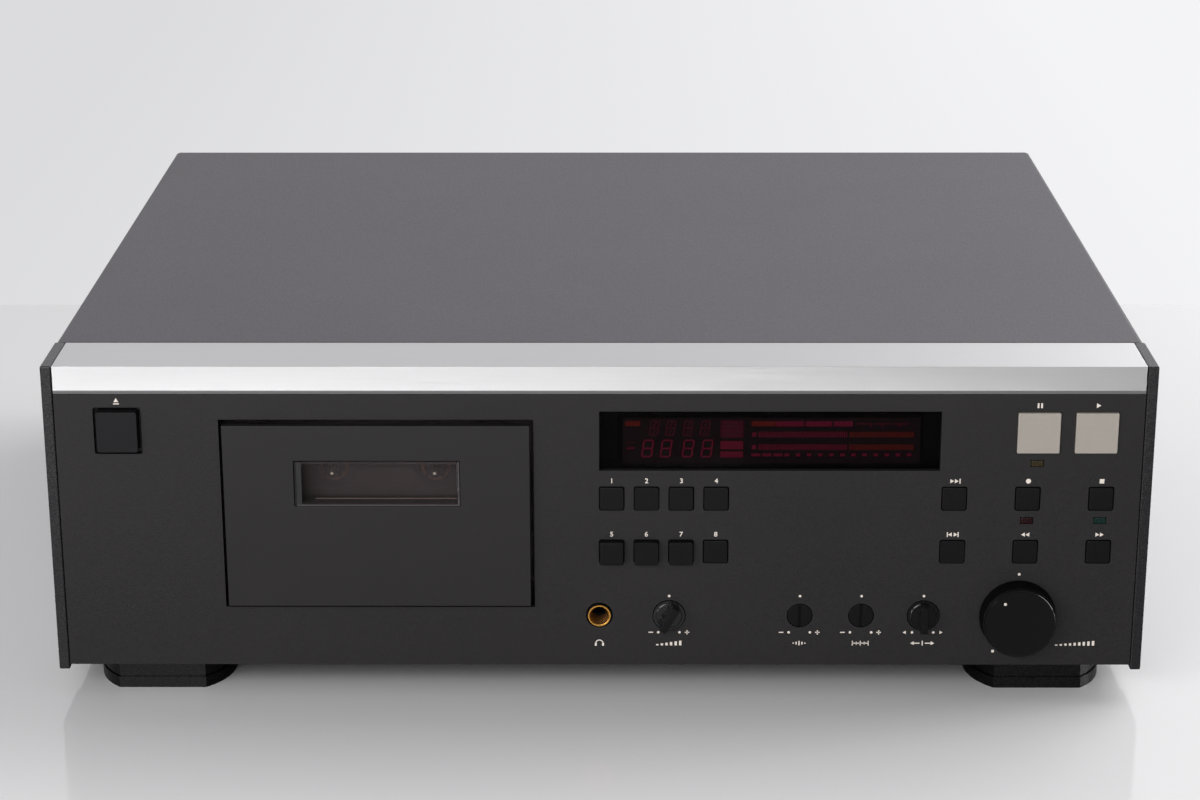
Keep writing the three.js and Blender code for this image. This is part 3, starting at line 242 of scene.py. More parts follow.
def make_materials(colours, sizes):
    """All finishes of the deck, by a short name each."""
    coat, paint = sizes.coat_grain / MM, sizes.paint_grain / MM
    made = {
        # Baked powder coat: an even orange peel of fine grains, dull, with a little sparkle on each grain
        "powder_coat": grained("Textured powder coat", colours.cover, 0.5, coat, 0.06, 0.13, 0.1, IOR=1.5),
        # Satin anodised aluminium: fine lines along the bar spread the highlight across it
        "anodised": brushed("Satin anodised aluminium", colours.trim, 0.46),
        # The bar's milled bevel, dull and partly non-metal: its mid grey is a painted reflection of the
        # shaded floor, so that it stays mid grey under the bright face
        "bevel_painted_reflection": grained("Milled aluminium", "7c7c7d", 0.6, 0.8, 0.002, 0.03, 0.04, Metallic=0.4),
        # Sprayed two-pack paint with a fine texture on sheet metal: dull, even, slightly speckled
        "panel_paint": grained(
            "Fine textured paint", colours.panel, 0.5, paint, 0.06, 0.16, 0.08, IOR=1.5,
            Specular_IOR_Level=0.3
        ),
        # The same tone sprayed smoother on a moulding: less grain and a softer sheen
        "door_paint": grained(
            "Satin paint on a moulding", colours.door, 0.46, paint, 0.02, 0.06, 0.05, IOR=1.5,
            Specular_IOR_Level=0.3
        ),
        # Moulded with a fine spark-eroded grain, which breaks up most of its reflections
        "key_abs": moulded_abs("Black ABS keys", colours.key, 0.4, 0.5, 0.01, 0.06, 0.05, 0.15),
        # A slightly finer grain where fingers turn it: a soft sheen
        "knob_abs": moulded_abs("Black ABS knobs", colours.key, 0.33, 0.5, 0.006, 0.05, 0.04, 0.2),
        # The level knob's barrel: a shade darker than the keys, with hardly any sheen
        "dull_barrel_abs": moulded_abs("Fluted black ABS", "080808", 0.6, 0.6, 0.01, gloss=0.08),
        # Shoulder of the level knob, burnished by fingers: it draws the lamps out into thin bright lines
        "rim_abs": moulded_abs("Burnished black ABS", colours.key, 0.16, 0.8, 0.002, 0.04, 0.03),
        # Dial from a polished mould: dark, with clear highlights along its raised rim
        "dish_abs": moulded_abs("Polished black ABS", colours.key, 0.2, 0.8, 0.002, 0.04, 0.03),
        # The eject button's grain is even and a little lighter than the keys'
        "eject_abs": moulded_abs("Satin ABS button", colours.eject, 0.42, 0.5, 0.01, gloss=0.15),
        # Pigmented warm grey and finely grained: flat and even under any light
        "light_abs": moulded_abs("Warm grey ABS keys", colours.light_key, 0.42, 0.5, 0.01, 0.03, 0.04),
        # Coarser leather-like grain of the cheeks: it catches small lights on its tops
        "cheek_abs": moulded_abs("Grained black ABS cheeks", colours.cheek, 0.28, 0.7, 0.03, 0.08, 0.06),
        # Polypropylene feet: waxy and a little duller than ABS
        "foot_plastic": grained("Black polypropylene", colours.foot, 0.3, 0.6, 0.02, 0.08, 0.06, IOR=1.49),
        # Moulded polystyrene of the inner mouldings and sockets: matt and plain
        "inner_plastic": grained("Black polystyrene", "1c1b1b", 0.5, 0.6, 0.02, 0.06, 0.05),
        # Cast pane of the cassette door: what is behind it shows dimly
        "window": smoked_acrylic("Smoked acrylic window", "4c4546", 0.42),
        # Cut and polished edge of the same acrylic, shown as a pale line of painted highlight
        "polished_edge": grained("Polished acrylic edge", "525053", 0.15, 4, 0, 0.1, IOR=1.49),
        # The edge of its floor inside: a painted highlight, warm as a painted reflection of the plate behind
        "inner_edge": grained("Inner acrylic edge", "5e5049", 0.2, 4, 0, 0.1, IOR=1.49),
        # Dull bluish grey band on the window's left side: painted light of the tub's side wall behind it
        "sawn_edge": grained("Sawn acrylic edge", "1f1f21", 0.5, 1, 0.01, 0.08, IOR=1.49),
        # Sprayed paint of the transport plate: a dull brown grey behind the window
        "bronze_paint": grained("Dark bronze paint", "544d4c", 0.5, 0.8, 0.02, 0.08, 0.05),
        # Pressed wool felt on the spool tables: soft, without any highlight
        "felt": grained("Tan felt", "a07454", 0.9, 0.6, 0.1, 0.15, 0.05),
        # Nearly black cast acrylic before the display, so that only lit segments come through
        "filter": smoked_acrylic("Dark red acrylic filter", "020101", 0.5),
        # Front glass of the fluorescent tube: black, polished, with a hint of its red coating
        "tube_glass": grained("Tube glass", "0a0506", 0.12, 3, 0, 0.1, 0.03, IOR=1.52),
        # Coating behind the segments, as a haze: its glow is painted light, standing for what the room lights
        # of it
        "haze": glowing("Tube coating", "1c060d", 0.5),
        # Phosphor of the main segments: deep red behind the filter
        "glow": glowing("Segments", colours.glow, 0.42),
        # Unlit phosphor: a faint painted glow, so that it only just stands out from the glass
        "glow_faint": glowing("Unlit segments", "5e1029", 0.6),
        # Phosphor of the peak segments: more orange than the rest
        "peak": glowing("Peak segments", colours.peak, 0.25),
        # Screen printing ink: flat and slightly chalky
        "ink": grained("Screen printing ink", colours.printing, 0.6, 0.6, 0, 0.04, 0.04),
        # Gold flash over turned brass: warm and bright, with drawn lines round the bore
        "gilt": grained("Gold plated brass", colours.gilt, 0.42, 0.5, 0.004, 0.08, 0.06, Metallic=1.0),
        # The same plating inside the bore: darker, browner and patchy, as painted shade deeper in
        "bore_painted_shade": grained("Worn gold on brass", "8c663c", 0.5, 0.5, 0.02, 0.2, 0.1, Metallic=1.0),
        # Zinc plated sheet steel: bluish grey with a soft spangle and rolling lines
        "zinc": grained("Zinc plated steel", "a9abac", 0.38, 2, 0.006, 0.08, 0.08, (0.1, 1, 1), Metallic=1.0),
        # Ground steel shafts and heads: bright with fine grinding marks
        "steel": grained("Ground steel", "bfc0c1", 0.2, 0.6, 0.003, 0.05, 0.06, Metallic=1.0),
        # Turned natural acetal, milky; its faint emission is a painted glint, so that the spindle tips stand
        # out bright in the dark
        "acetal_painted_glint": grained(
            "Natural acetal", "f6f0e4", 0.2, 2, 0, 0.02, 0.03, IOR=1.48,
            Emission_Color=shaded("f6e6cc"), Emission_Strength=0.8
        ),
        # Nickel plating on contacts: a warm silver mirror, slightly clouded
        "nickel": grained("Nickel plated brass", "c8c3b8", 0.18, 0.8, 0.003, 0.04, 0.05, Metallic=1.0),
        # Wound wire under clear enamel: close glossy lines of reddish brown
        "copper": grained("Enamelled copper winding", "8a4a22", 0.35, 0.8, 0.04, 0.15, 0.08, (1, 1, 0.1)),
        # Black chromated sheet steel, so that nothing bright shows through the front's gaps
        "blackened": grained("Black chromated steel", "161617", 0.5, 2, 0.006, 0.1, 0.08, Metallic=0.3),
        # Stacked steel sheets under varnish: fine dark lines across a dull metal
        "laminations": grained(
            "Transformer laminations", "4a4a4c", 0.45, 0.6, 0.03, 0.2, 0.1, (1, 0.05, 0.05), Metallic=0.8
        ),
        # Moulded nitrile rubber with a ground surface: matt and even
        "rubber": grained("Nitrile rubber", "1c1c1c", 0.8, 0.5, 0.02, 0.08, 0.08),
        # Glass fibre board under green solder mask, its tracks just showing
        "board": grained("Solder mask", colours.board, 0.4, 2.5, 0.02, 0.25, 0.1, (0.15, 0.15, 1)),
        # The front boards' mask is black, so that nothing shows beside the display's tube
        "black_board": grained("Black solder mask", "0c0b0b", 0.5, 2.5, 0.02, 0.25, 0.1, (0.15, 0.15, 1)),
        # Shrunk vinyl sleeve of the capacitors: smooth dark blue with a broad highlight
        "sleeve": grained("Capacitor sleeve", "16233c", 0.35, 4, 0, 0.06, 0.05),
        # Extruded heat sink, black anodised: satin, with a trace of the metal
        "black_anodised": grained("Black anodised aluminium", "141414", 0.4, 0.6, 0.004, 0.1, Metallic=0.6),
        # Depth that no light reaches: a dull near-black, so that gaps and bores stay dark
        "void": grained("Unlit depth", "050505", 0.7, 1, 0),
    }
    # Tinted polystyrene moulded with a frosted back: unlit, with a dim colour under a soft sheen
    for name, tone in (("amber", "322a18"), ("red", "200508"), ("green", "0f2924")):
        lens = name.title() + " polystyrene lens"
        made[name] = grained(lens, tone, 0.28, 1.2, 0.01, 0.1, 0.05, Specular_IOR_Level=0.3)
    return made


MATERIALS = {}


def finish(name):
    if not MATERIALS:
        MATERIALS.update(make_materials(bpy.context.scene.deck_colours, bpy.context.scene.deck_sizes))
    return MATERIALS[name]


# Modelling steps

def fresh():
    """Leaves edit mode with nothing selected."""
    if bpy.context.object and bpy.context.object.mode != "OBJECT":
        bpy.ops.object.mode_set(mode="OBJECT")
    bpy.ops.object.select_all(action="DESELECT")


def picked(piece):
    """Leaves edit mode with this object alone selected."""
    fresh()
    piece.select_set(True)
    bpy.context.view_layer.objects.active = piece


def spot(across, back, up):
    """Place in the row frame of millimetres right, behind the panel's face and above the cheeks' foot."""
    return Vector((across * MM, FACE + back * MM, FOOT + up * MM))


def seen(across, up, depth):
    """Place that many millimetres behind the face that shows at a place of the face from the front."""
    face = spot(across, 0, up)
    share = 1 + depth * MM / (FACE - CAMERA_PLACE.y)
    return CAMERA_PLACE + (face - CAMERA_PLACE) * share


def middle(node):
    low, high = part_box(node)
    return (low + high) / 2


def begun(name):
    """Empty mesh object in edit mode, at the origin."""
    fresh()
    bpy.ops.object.add(type="MESH", location=(0, 0, 0))
    piece = bpy.context.object
    piece.name = piece.data.name = name
    bpy.ops.object.mode_set(mode="EDIT")
    return piece


def block(low, high):
    """Adds a block between two corners to the mesh in edit mode."""
    low, high = Vector(low), Vector(high)
    bpy.ops.mesh.primitive_cube_add(size=1, location=(low + high) / 2, scale=high - low)


def outwards():
    """Closes a body that was drawn out from its first face: all of its faces point outwards."""
    bpy.ops.mesh.select_linked()
    bpy.ops.mesh.normals_make_consistent(inside=False)


def turned(profile, centre, sides=64):
    """Adds a closed body of revolution about an axis along Y: pairs of radius and distance in millimetres."""
    radius, here = profile[0]
    start = centre + Vector((0, here * MM, 0))
    bpy.ops.mesh.primitive_circle_add(
        vertices=sides, radius=radius * MM, fill_type="NGON", location=start, rotation=(math.pi / 2, 0, 0)
    )
    for wider, along in profile[1:]:
        step = Vector((0, (along - here) * MM, 0))
        bpy.ops.mesh.extrude_region_move(TRANSFORM_OT_translate={"value": step})
        share = wider / radius
        bpy.ops.transform.resize(value=(share, 1, share), center_override=centre + Vector((0, along * MM, 0)))
        radius, here = wider, along
    outwards()


def dome(radius, steps):
    """Profile of a round end that starts at that radius and closes at distance 0."""
    angles = [math.radians(80) * step / steps for step in range(steps + 1)]
    return [(radius * math.cos(angle), radius * (1 - math.sin(angle))) for angle in angles]


def rounded(piece, width, steps=2, angle=SHARP_ANGLE, smooth=SMOOTH_ANGLE):
    """Rounds the sharp edges and smooths the shading over them."""
    picked(piece)
    if width:
        bpy.ops.object.modifier_add(type="BEVEL")
        edge = piece.modifiers[-1]
        edge.width = width
        edge.segments = steps
        edge.limit_method = "ANGLE"
        edge.angle_limit = math.radians(angle)
        bpy.ops.object.modifier_apply(modifier=edge.name)
    bpy.ops.object.shade_smooth_by_angle(angle=math.radians(smooth))
    bpy.ops.object.modifier_add(type="WEIGHTED_NORMAL")
    weight = piece.modifiers[-1]
    weight.keep_sharp = True
    bpy.ops.object.modifier_apply(modifier=weight.name)


def dressed(piece, material, body):
    """Gives a piece its finish and lets it ride on its body."""
    piece.data.materials.clear()
    piece.data.materials.append(finish(material))
    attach(piece, body)


def finished(piece, material, body, width=0, steps=2, smooth=SMOOTH_ANGLE):
    """Ends the modelling of a new piece beside the nodes."""
    rounded(piece, width, steps, smooth=smooth)
    dressed(piece, material, body)


def installed(piece, node, material, width=0, steps=2, angle=SHARP_ANGLE, smooth=SMOOTH_ANGLE):
    """Ends the modelling of a piece that stands for a node."""
    rounded(piece, width, steps, angle, smooth)
    dressed(piece, material, BODY[node])
    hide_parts(node)


def refined(node, material, width, steps=2, angle=SHARP_ANGLE, smooth=SMOOTH_ANGLE):
    """Copy of a CAD node, its loose triangles merged into whole faces, with rounded edges and its finish."""
    source = frame["nodes"][node]
    picked(source)
    bpy.ops.object.duplicate()
    piece = bpy.context.object
    piece.parent = None
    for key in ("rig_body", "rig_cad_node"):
        if key in piece:
            del piece[key]
    piece.name = piece.data.name = node + "_fine"
    bpy.ops.object.mode_set(mode="EDIT")
    bpy.ops.mesh.select_all(action="SELECT")
    bpy.ops.mesh.remove_doubles(threshold=MERGE_REACH)
    bpy.ops.mesh.dissolve_limited(angle_limit=math.radians(FLAT_ANGLE))
    installed(piece, node, material, width, steps, angle, smooth)
    return piece


def painted(node, material):
    """The CAD node itself with its finish."""
    data = frame["nodes"][node].data
    data.materials.clear()
    data.materials.append(finish(material))


def faced(piece, material, low, high):
    """Gives the faces whose middle lies between two corners another finish."""
    piece.data.materials.append(finish(material))
    number = len(piece.data.materials) - 1
    for face in piece.data.polygons:
        if all(low[i] <= face.center[i] <= high[i] for i in range(3)):
            face.material_index = number


def shifted(piece, chosen, step):
    """Moves the corners whose places the test chooses by a step."""
    picked(piece)
    bpy.ops.object.mode_set(mode="EDIT")
    bpy.ops.mesh.select_all(action="DESELECT")
    bpy.ops.object.mode_set(mode="OBJECT")
    for corner in piece.data.vertices:
        corner.select = chosen(corner.co)
    bpy.ops.object.mode_set(mode="EDIT")
    bpy.ops.transform.translate(value=step)
    bpy.ops.object.mode_set(mode="OBJECT")


class DeckCase(bpy.types.Operator):
    """Cover, trim bar, front panel, cheeks, rear panel, tray and frame"""

    bl_idname = "deck.case"
    bl_label = "Case"

    # The photo shows these edges a little off the solids' edges: all stay inside the solids' box
    cover_back = Vector((0, 1.6, 0)) * MM  # front edge of the cover, and rear edge of the cheeks
    cover_out = Vector((0.85, 0, 0)) * MM
    bar_back = Vector((0, 1.1, 0)) * MM
    bar_down = Vector((0, 0, -0.75)) * MM
    panel_down = Vector((0, 0, -0.5)) * MM
    cheek_down = Vector((0, 0, -1.1)) * MM
    rim = 0.5 * MM  # corners nearer to an edge than this move with it
    wall = 3.0 * MM  # and those of the cover's side walls
    milled = Vector((0, 0.3, 0.8)) * MM  # the bevel's middle lies within this from the bar's lower front edge

    def execute(self, context):
        sizes = context.scene.deck_sizes
        edge = sizes.panel_edge
        cover = refined("top_cover", "powder_coat", edge)
        low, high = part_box("top_cover")
        shifted(cover, lambda place: place.y < low.y + self.rim, self.cover_back)
        shifted(cover, lambda place: place.x < low.x + self.wall, -self.cover_out)
        shifted(cover, lambda place: place.x > high.x - self.wall, self.cover_out)
        refined("rear_panel", "powder_coat", edge)
        panel = refined("front_panel", "panel_paint", edge)
        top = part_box("front_panel")[1].z - self.rim
        shifted(panel, lambda place: place.z > top, self.panel_down)
        bar = refined("trim_bar", "anodised", edge)
        low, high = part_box("trim_bar")
        shifted(bar, lambda place: place.z < low.z + self.rim, self.bar_down)
        shifted(bar, lambda place: place.y > high.y - self.rim, self.bar_back)
        bevel = low + self.milled
        # The bar's lower bevel gets its painted reflection
        faced(bar, "bevel_painted_reflection", low + self.bar_down, (high.x, bevel.y, bevel.z))
        for node in ("left_cheek", "right_cheek"):
            low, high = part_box(node)
            cheek = begun(node + "_fine")
            block(low + self.cheek_down, high + self.cover_back)
            installed(cheek, node, "cheek_abs", sizes.cheek_edge, 4)
        painted("bottom_tray", "zinc")
        painted("front_frame", "blackened")
        return {"FINISHED"}


class DeckFeet(bpy.types.Operator):
    """The four feet"""

    bl_idname = "deck.feet"
    bl_label = "Feet"

    bevel_angle = 30  # the feet's blunt edges get their rounding too
    smooth_angle = 25

    def execute(self, context):
        edge = context.scene.deck_sizes.moulded_edge
        for node in ("front_left_foot", "front_right_foot", "rear_left_foot", "rear_right_foot"):
            refined(node, "foot_plastic", edge, 2, self.bevel_angle, self.smooth_angle)
        return {"FINISHED"}


class DeckDoor(bpy.types.Operator):
    """Cassette door with its window and carrier"""

    bl_idname = "deck.door"
    bl_label = "Cassette door"

    line = 0.38 * MM  # width of the painted highlight lines along the polished edges
    proud = 0.02 * MM  # how far strips stand out of the window's face
    gap = 0.8 * MM  # widths of the painted shadow of a gap and of a painted lit band along the window's left side
    band = 2.0 * MM
    wall = 1.0 * MM  # wall of the window's tub
    lip_back = 5.7 * MM  # distance of the painted inner highlight before the tub's rear
    lip_side = 5.0 * MM  # where it starts right of the band

    def strip(self, name, material, *corners):
        """Blocks on the window, each between a pair of corners."""
        piece = begun(name)
        for low, high in corners:
            block(low, high)
        finished(piece, material, BODY["door_window"])

    def execute(self, context):
        sizes = context.scene.deck_sizes
        refined("door_panel", "door_paint", sizes.moulded_edge)
        refined("door_window", "window", 0)
        low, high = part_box("door_window")
        line = self.line
        front, back = low.y - self.proud, low.y + line
        inner = low.x + self.gap
        band = inner + self.band
        # Near-black strip on the window's left edge: painted shadow of the gap there
        self.strip("window_gap", "void", ((low.x, front, low.z), (inner, back, high.z)))
        # Grey band beside it: painted light of the tub's left wall
        self.strip(
            "window_band", "sawn_edge", ((inner, front, low.z + line), (band, back, high.z - line / 2))
        )
        # Pale lines along the window's right and lower edges: painted highlights
        self.strip(
            "window_edges", "polished_edge",
            ((high.x - line, front, low.z), (high.x, back, high.z)),
            ((inner, front, low.z), (high.x - line, back, low.z + line))
        )
        start = high.y - self.lip_back
        floor = low.z + self.wall
        side = high.x - self.wall - line
        # Line along the floor of the window's tub: painted highlight
        self.strip(
            "window_inner_edge", "inner_edge",
            ((band + self.lip_side, start, floor), (side, start + line, floor + line))
        )
        refined("cassette_carrier", "inner_plastic", sizes.panel_edge)
        return {"FINISHED"}


class DeckTransport(bpy.types.Operator):
    """Spindles, capstans, rollers, heads and their plate"""

    bl_idname = "deck.transport"
    bl_label = "Tape transport"

    # Radii, and distances behind the spindle's tip, in millimetres
    tip = ((0.65, 1.9), *dome(0.65, 5))
    collar = ((1.75, 2.2), (1.75, 1.8), (1.55, 1.8), (1.55, 2.2))
    felt = ((6.2, 10.5), (6.2, 9.9), (4.7, 9.9), (4.7, 10.5))

    def execute(self, context):
        edge = context.scene.deck_sizes.panel_edge
        painted("transport_chassis", "bronze_paint")
        for node in ("supply_motor", "take_up_motor"):
            painted(node, "zinc")
        for node, material in (
            ("left_capstan", "steel"), ("right_capstan", "steel"), ("head_bridge", "steel"),
            ("left_pinch_roller", "rubber"), ("right_pinch_roller", "rubber"),
            ("supply_spindle", "inner_plastic"), ("take_up_spindle", "inner_plastic"),
        ):
            refined(node, material, edge)
        for node in ("supply_spindle", "take_up_spindle"):
            centre = middle(node)
            centre.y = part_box(node)[0].y
            # The tips' acetal carries a painted glint
            for name, material, profile, sides in (
                ("_tip", "acetal_painted_glint", self.tip, 32), ("_collar", "steel", self.collar, 32),
                ("_felt", "felt", self.felt, 48),
            ):
                piece = begun(node + name)
                turned(profile, centre, sides)
                finished(piece, material, BODY[node])
        return {"FINISHED"}


class DeckKeys(bpy.types.Operator):
    """Eject button, function keys and tape keys"""

    bl_idname = "deck.keys"
    bl_label = "Keys"

    def execute(self, context):
        sizes = context.scene.deck_sizes
        for node in (*UPPER_KEYS, *LOWER_KEYS, *TAPE_KEYS):
            refined(node, "key_abs", sizes.key_edge, 4)
        for node, material in (
            ("pause_key", "light_abs"), ("play_key", "light_abs"), ("eject_button", "eject_abs")
        ):
            refined(node, material, sizes.wide_key_edge, 3)
        return {"FINISHED"}


class DeckLevelKnob(bpy.types.Operator):
    """Large input level knob with its dot"""

    bl_idname = "deck.level_knob"
    bl_label = "Input level knob"

    # Radii and distances in millimetres
    shaft = ((3.0, -0.3), (15.75, -0.3), (15.8, -0.9))  # up to the barrel, from the panel's face
    face = 14.3
    shoulder = ((0.3, 0.3), (0.55, 0.8), (0.7, 1.4), (0.8, 2.2))  # outwards and back from the face's edge
    crown = ((0.8, 0.05), (13.3, 0.12))  # inwards and back from there
    crowned = 0.13  # the face's shading ends that far back
    dot = ((0.6, 0.6), (0.6, 0.03), (0.5, 0.0))
    dot_reach = 11.0
    dot_lean = 36.0  # degrees left of the top

    def execute(self, context):
        node = "input_level_knob"
        low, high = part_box(node)
        centre = middle(node)
        centre.y = FACE
        front, back = (low.y - FACE) / MM, (high.y - FACE) / MM
        knob = begun(node + "_fine")
        turned([
            (self.shaft[0][0], back), *self.shaft,
            *((self.face + step, front + depth) for step, depth in reversed(self.shoulder)),
            (self.face, front), *((self.face - step, front + depth) for step, depth in self.crown)
        ], centre, 128)
        installed(knob, node, "knob_abs")
        behind = low.y + self.shoulder[-1][1] * MM
        faced(knob, "rim_abs", (low.x, low.y + self.crowned * MM, low.z), (high.x, behind, high.z))
        faced(knob, "dull_barrel_abs", (low.x, behind, low.z), high)
        lean = math.radians(self.dot_lean)
        place = centre + Vector((-math.sin(lean), 0, math.cos(lean))) * self.dot_reach * MM
        place.y = low.y
        dot = begun("input_level_dot")
        turned(self.dot, place, 32)
        finished(dot, "ink", BODY[node])
        return {"FINISHED"}


class DeckDials(bpy.types.Operator):
    """Volume and balance dials and the two trimmers"""

    bl_idname = "deck.dials"
    bl_label = "Dials and trimmers"

    # Radii and distances in millimetres
    shaft = 2.0
    radius = 6.6
    # Steps inwards from the dish's radius, and places behind the panel's face
    dish = ((0, 2.7), (0, -0.1), (0.15, -0.36), (1.1, -0.36), (1.5, -0.62), (6.1, -0.62))
    dish_smooth = 20.0  # degrees, so that the rim's facets stay crisp
    grip = Vector((3.1, 0, 11.4)) * MM
    grip_back = Vector((0, 2.0, 0)) * MM  # its rear end behind the panel's face
    lean = {"volume_knob": 30.0, "balance_knob": 0.0}  # degrees that the pointer's end stands left of down
    trimmer_edge = 0.15 * MM

    def execute(self, context):
        for node, lean in self.lean.items():
            low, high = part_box(node)
            front, back = (low.y - FACE) * Vector((0, 1, 0)), (high.y - FACE) / MM
            centre = spot((low.x + high.x) / 2 / MM, 0, 0)
            centre.z = middle("balance_knob").z
            dish = begun(node + "_dish")
            rings = [(self.radius - step, place) for step, place in self.dish]
            turned([(self.shaft, back), (self.shaft, rings[0][1]), *rings], centre, 96)
            installed(dish, node, "dish_abs", smooth=self.dish_smooth)
            grip = begun(node + "_grip")
            block(centre - self.grip / 2 + front, centre + self.grip / 2 + self.grip_back)
            bpy.ops.transform.rotate(value=-math.radians(lean), orient_axis="Y", center_override=centre)
            finished(grip, "knob_abs", BODY[node], context.scene.deck_sizes.knob_edge, 3)
        for node in ("bias_trimmer", "calibration_trimmer"):
            refined(node, "key_abs", self.trimmer_edge)
        return {"FINISHED"}


class DeckPhones(bpy.types.Operator):
    """Phones socket with its threaded gilt sleeve"""

    bl_idname = "deck.phones"
    bl_label = "Phones socket"

    # Radii, and distances behind the sleeve's face, in millimetres
    collar = ((4.75, 17.9), (4.75, 0.25), (4.6, 0.0), (4.2, 0.0), (3.95, 0.2), (3.75, 1.0))
    threads = 9
    thread_start = 1.2
    pitch = 0.9
    crest, root = 3.4, 3.75
    bore = ((3.4, 10.0), (3.2, 10.2), (3.2, 17.0))
    bright = Vector((0, 0.9, 0)) * MM  # depth of the bright edge round the bore, past which the gilt has painted shade
    dark = (9.0, 17.5)  # where no light reaches

    def execute(self, context):
        node = "phones_socket_sleeve"
        low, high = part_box(node)
        centre = middle(node)
        centre.y = low.y
        sleeve = begun(node + "_fine")
        profile = [*self.collar]
        for turn in range(self.threads):
            start = self.thread_start + turn * self.pitch
            profile += [(self.root, start), (self.crest, start + self.pitch / 2)]
        turned([*profile, *self.bore], centre, 64)
        installed(sleeve, node, "gilt")
        # Deeper in the bore the gilt is darkened: painted shade
        faced(sleeve, "bore_painted_shade", low + self.bright, high)
        start, end = (low.y + depth * MM for depth in self.dark)
        faced(sleeve, "void", (low.x, start, low.z), (high.x, end, high.z))
        painted("phones_socket_body", "inner_plastic")
        return {"FINISHED"}


class DeckDisplay(bpy.types.Operator):
    """Filter, tube and the segments of the display"""

    bl_idname = "deck.display"
    bl_label = "Display"

    lens_edge = 0.1 * MM
    tube_edge = 0.2 * MM
    # Millimetres: how far haze and segments stand before the tube's glass, and how deep they reach into it
    haze_stands = 0.04
    segment_stands = 0.12
    sunk = 0.05
    # Places on the panel's face at which each segment shows from the camera, as left, right, low and high
    # The haze glows with painted light
    haze = (9.2, 129.6, 90.4, 110.0)
    small_digits = (22.0, 28.6, 35.6, 42.5)
    small_figure = (105.5, 3.3, 6.0, 0.5)  # place up, width, height and line
    large_digits = (19.3, 26.8, 35.7, 43.4)
    large_figure = (96.8, 3.8, 7.0, 0.7)
    column = (48.8, 58.0)
    unlit_blocks = ((107.3, 108.7), (105.4, 107.0), (103.4, 105.1), (101.5, 103.1))
    lit_blocks = ((96.5, 100.0), (93.0, 95.5))
    top_bars = ((71.0, 82.4), (83.1, 93.9), (94.6, 102.2))
    peak_bars = ((10.2, 16.3), (61.3, 70.8))
    rows = (101.6, 96.2)
    row_height = 2.4
    tick_start = 64.3
    peak_start = 101.0
    tick_end = 127.5
    tick_pitch = 0.82
    tick_share = 0.6
    slant = 8.0  # degrees
    cross_lean = 20.0
    shift = Vector((0.35, 0, -0.42)) * MM  # whole pattern against these places

    def bar(self, left, right, low, high):
        """Thin bar over that part of the face's view."""
        first = seen(left, low, self.front) + self.shift
        last = seen(right, high, self.front) + self.shift
        block(first, last + Vector((0, (self.back - self.front) * MM, 0)))

    def digit(self, across, up, width, height, line, crossed=False):
        """Slanted seven-segment figure, with cross strokes where the figure has more segments."""
        half, thin, overlap = width / 2, line / 2, line / 4
        lowers = (-height / 2, 0)
        bars = [
            (-half + overlap, half - overlap, level - thin, level + thin)
            for level in (*lowers, height / 2)
        ]
        for side in (-half, half):
            for lower in lowers:
                bars.append((side - thin, side + thin, lower + overlap, lower + height / 2 - overlap))
        if crossed:
            for lower in lowers:
                bars.append((-thin, thin, lower + line, lower + height / 2 - line))
        for left, right, low, high in bars:
            self.bar(across + left, across + right, up + low, up + high)
            upright = right - left < high - low
            lean = upright * (self.slant + self.cross_lean * (right == -left))
            centre = seen(across + (left + right) / 2, up + (low + high) / 2, self.front) + self.shift
            bpy.ops.transform.rotate(value=-math.radians(lean), orient_axis="Y", center_override=centre)
            sideways = math.tan(math.radians(self.slant)) * (low + high) / 2 * MM
            bpy.ops.transform.translate(value=(sideways, 0, 0))

    def unlit(self):
        """Small figures and marks that only just show, by a painted glow."""
        for across in self.small_digits:
            self.digit(across, *self.small_figure, crossed=True)
        for low, high in self.unlit_blocks:
            self.bar(*self.column, low, high)
        for left in (103.6, 111.0, 118.6):
            self.bar(left, left + 6.4, 107.1, 107.7)
        for left in (109.2, 113.8, 120.6):
            self.bar(left, left + 0.8, 105.9, 107.1)
        self.bar(10.8, 14.2, 99.2, 99.5)

    def lit(self):
        """Large figures, blocks and marks."""
        for across in self.large_digits:
            self.digit(across, *self.large_figure)
        self.bar(10.8, 14.0, 96.6, 97.3)
        for low, high in self.lit_blocks:
            self.bar(*self.column, low, high)
        for left, right in self.top_bars:
            self.bar(left, right, 106.3, 108.5)
        for low in self.rows:
            self.bar(61.5, 63.3, low + 0.3, low + self.row_height - 0.3)
        for step in range(15):
            left = 61.4 + step * 4.5
            wide = 3.6 if step < 3 else 1.8
            self.bar(left, left + wide, 93.5, 94.7)

    def ticks(self, start, end):
        """Both rows of level ticks between two places."""
        for low in self.rows:
            for step in range(int((end - start) / self.tick_pitch)):
                left = start + step * self.tick_pitch
                self.bar(left, left + self.tick_pitch * self.tick_share, low, low + self.row_height)

    def peaks(self):
        """Ticks of the highest levels, and two bars as orange as they are."""
        self.ticks(self.peak_start, self.tick_end)
        for left, right in self.peak_bars:
            self.bar(left, right, 106.4, 108.5)

    def execute(self, context):
        refined("display_lens", "filter", self.lens_edge)
        refined("display_tube", "tube_glass", self.tube_edge)
        glass = (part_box("display_tube")[0].y - FACE) / MM
        self.back = glass + self.sunk
        for name, material, draw, *places in (
            ("haze", "haze", self.bar, *self.haze), ("small_figures", "glow_faint", self.unlit),
            ("figures_and_scales", "glow", self.lit), ("peak_ticks", "peak", self.peaks),
            ("level_ticks", "glow", self.ticks, self.tick_start, self.peak_start),
        ):
            self.front = glass - (self.haze_stands if name == "haze" else self.segment_stands)
            piece = begun("display_" + name)
            draw(*places)
            finished(piece, material, "case")
        return {"FINISHED"}


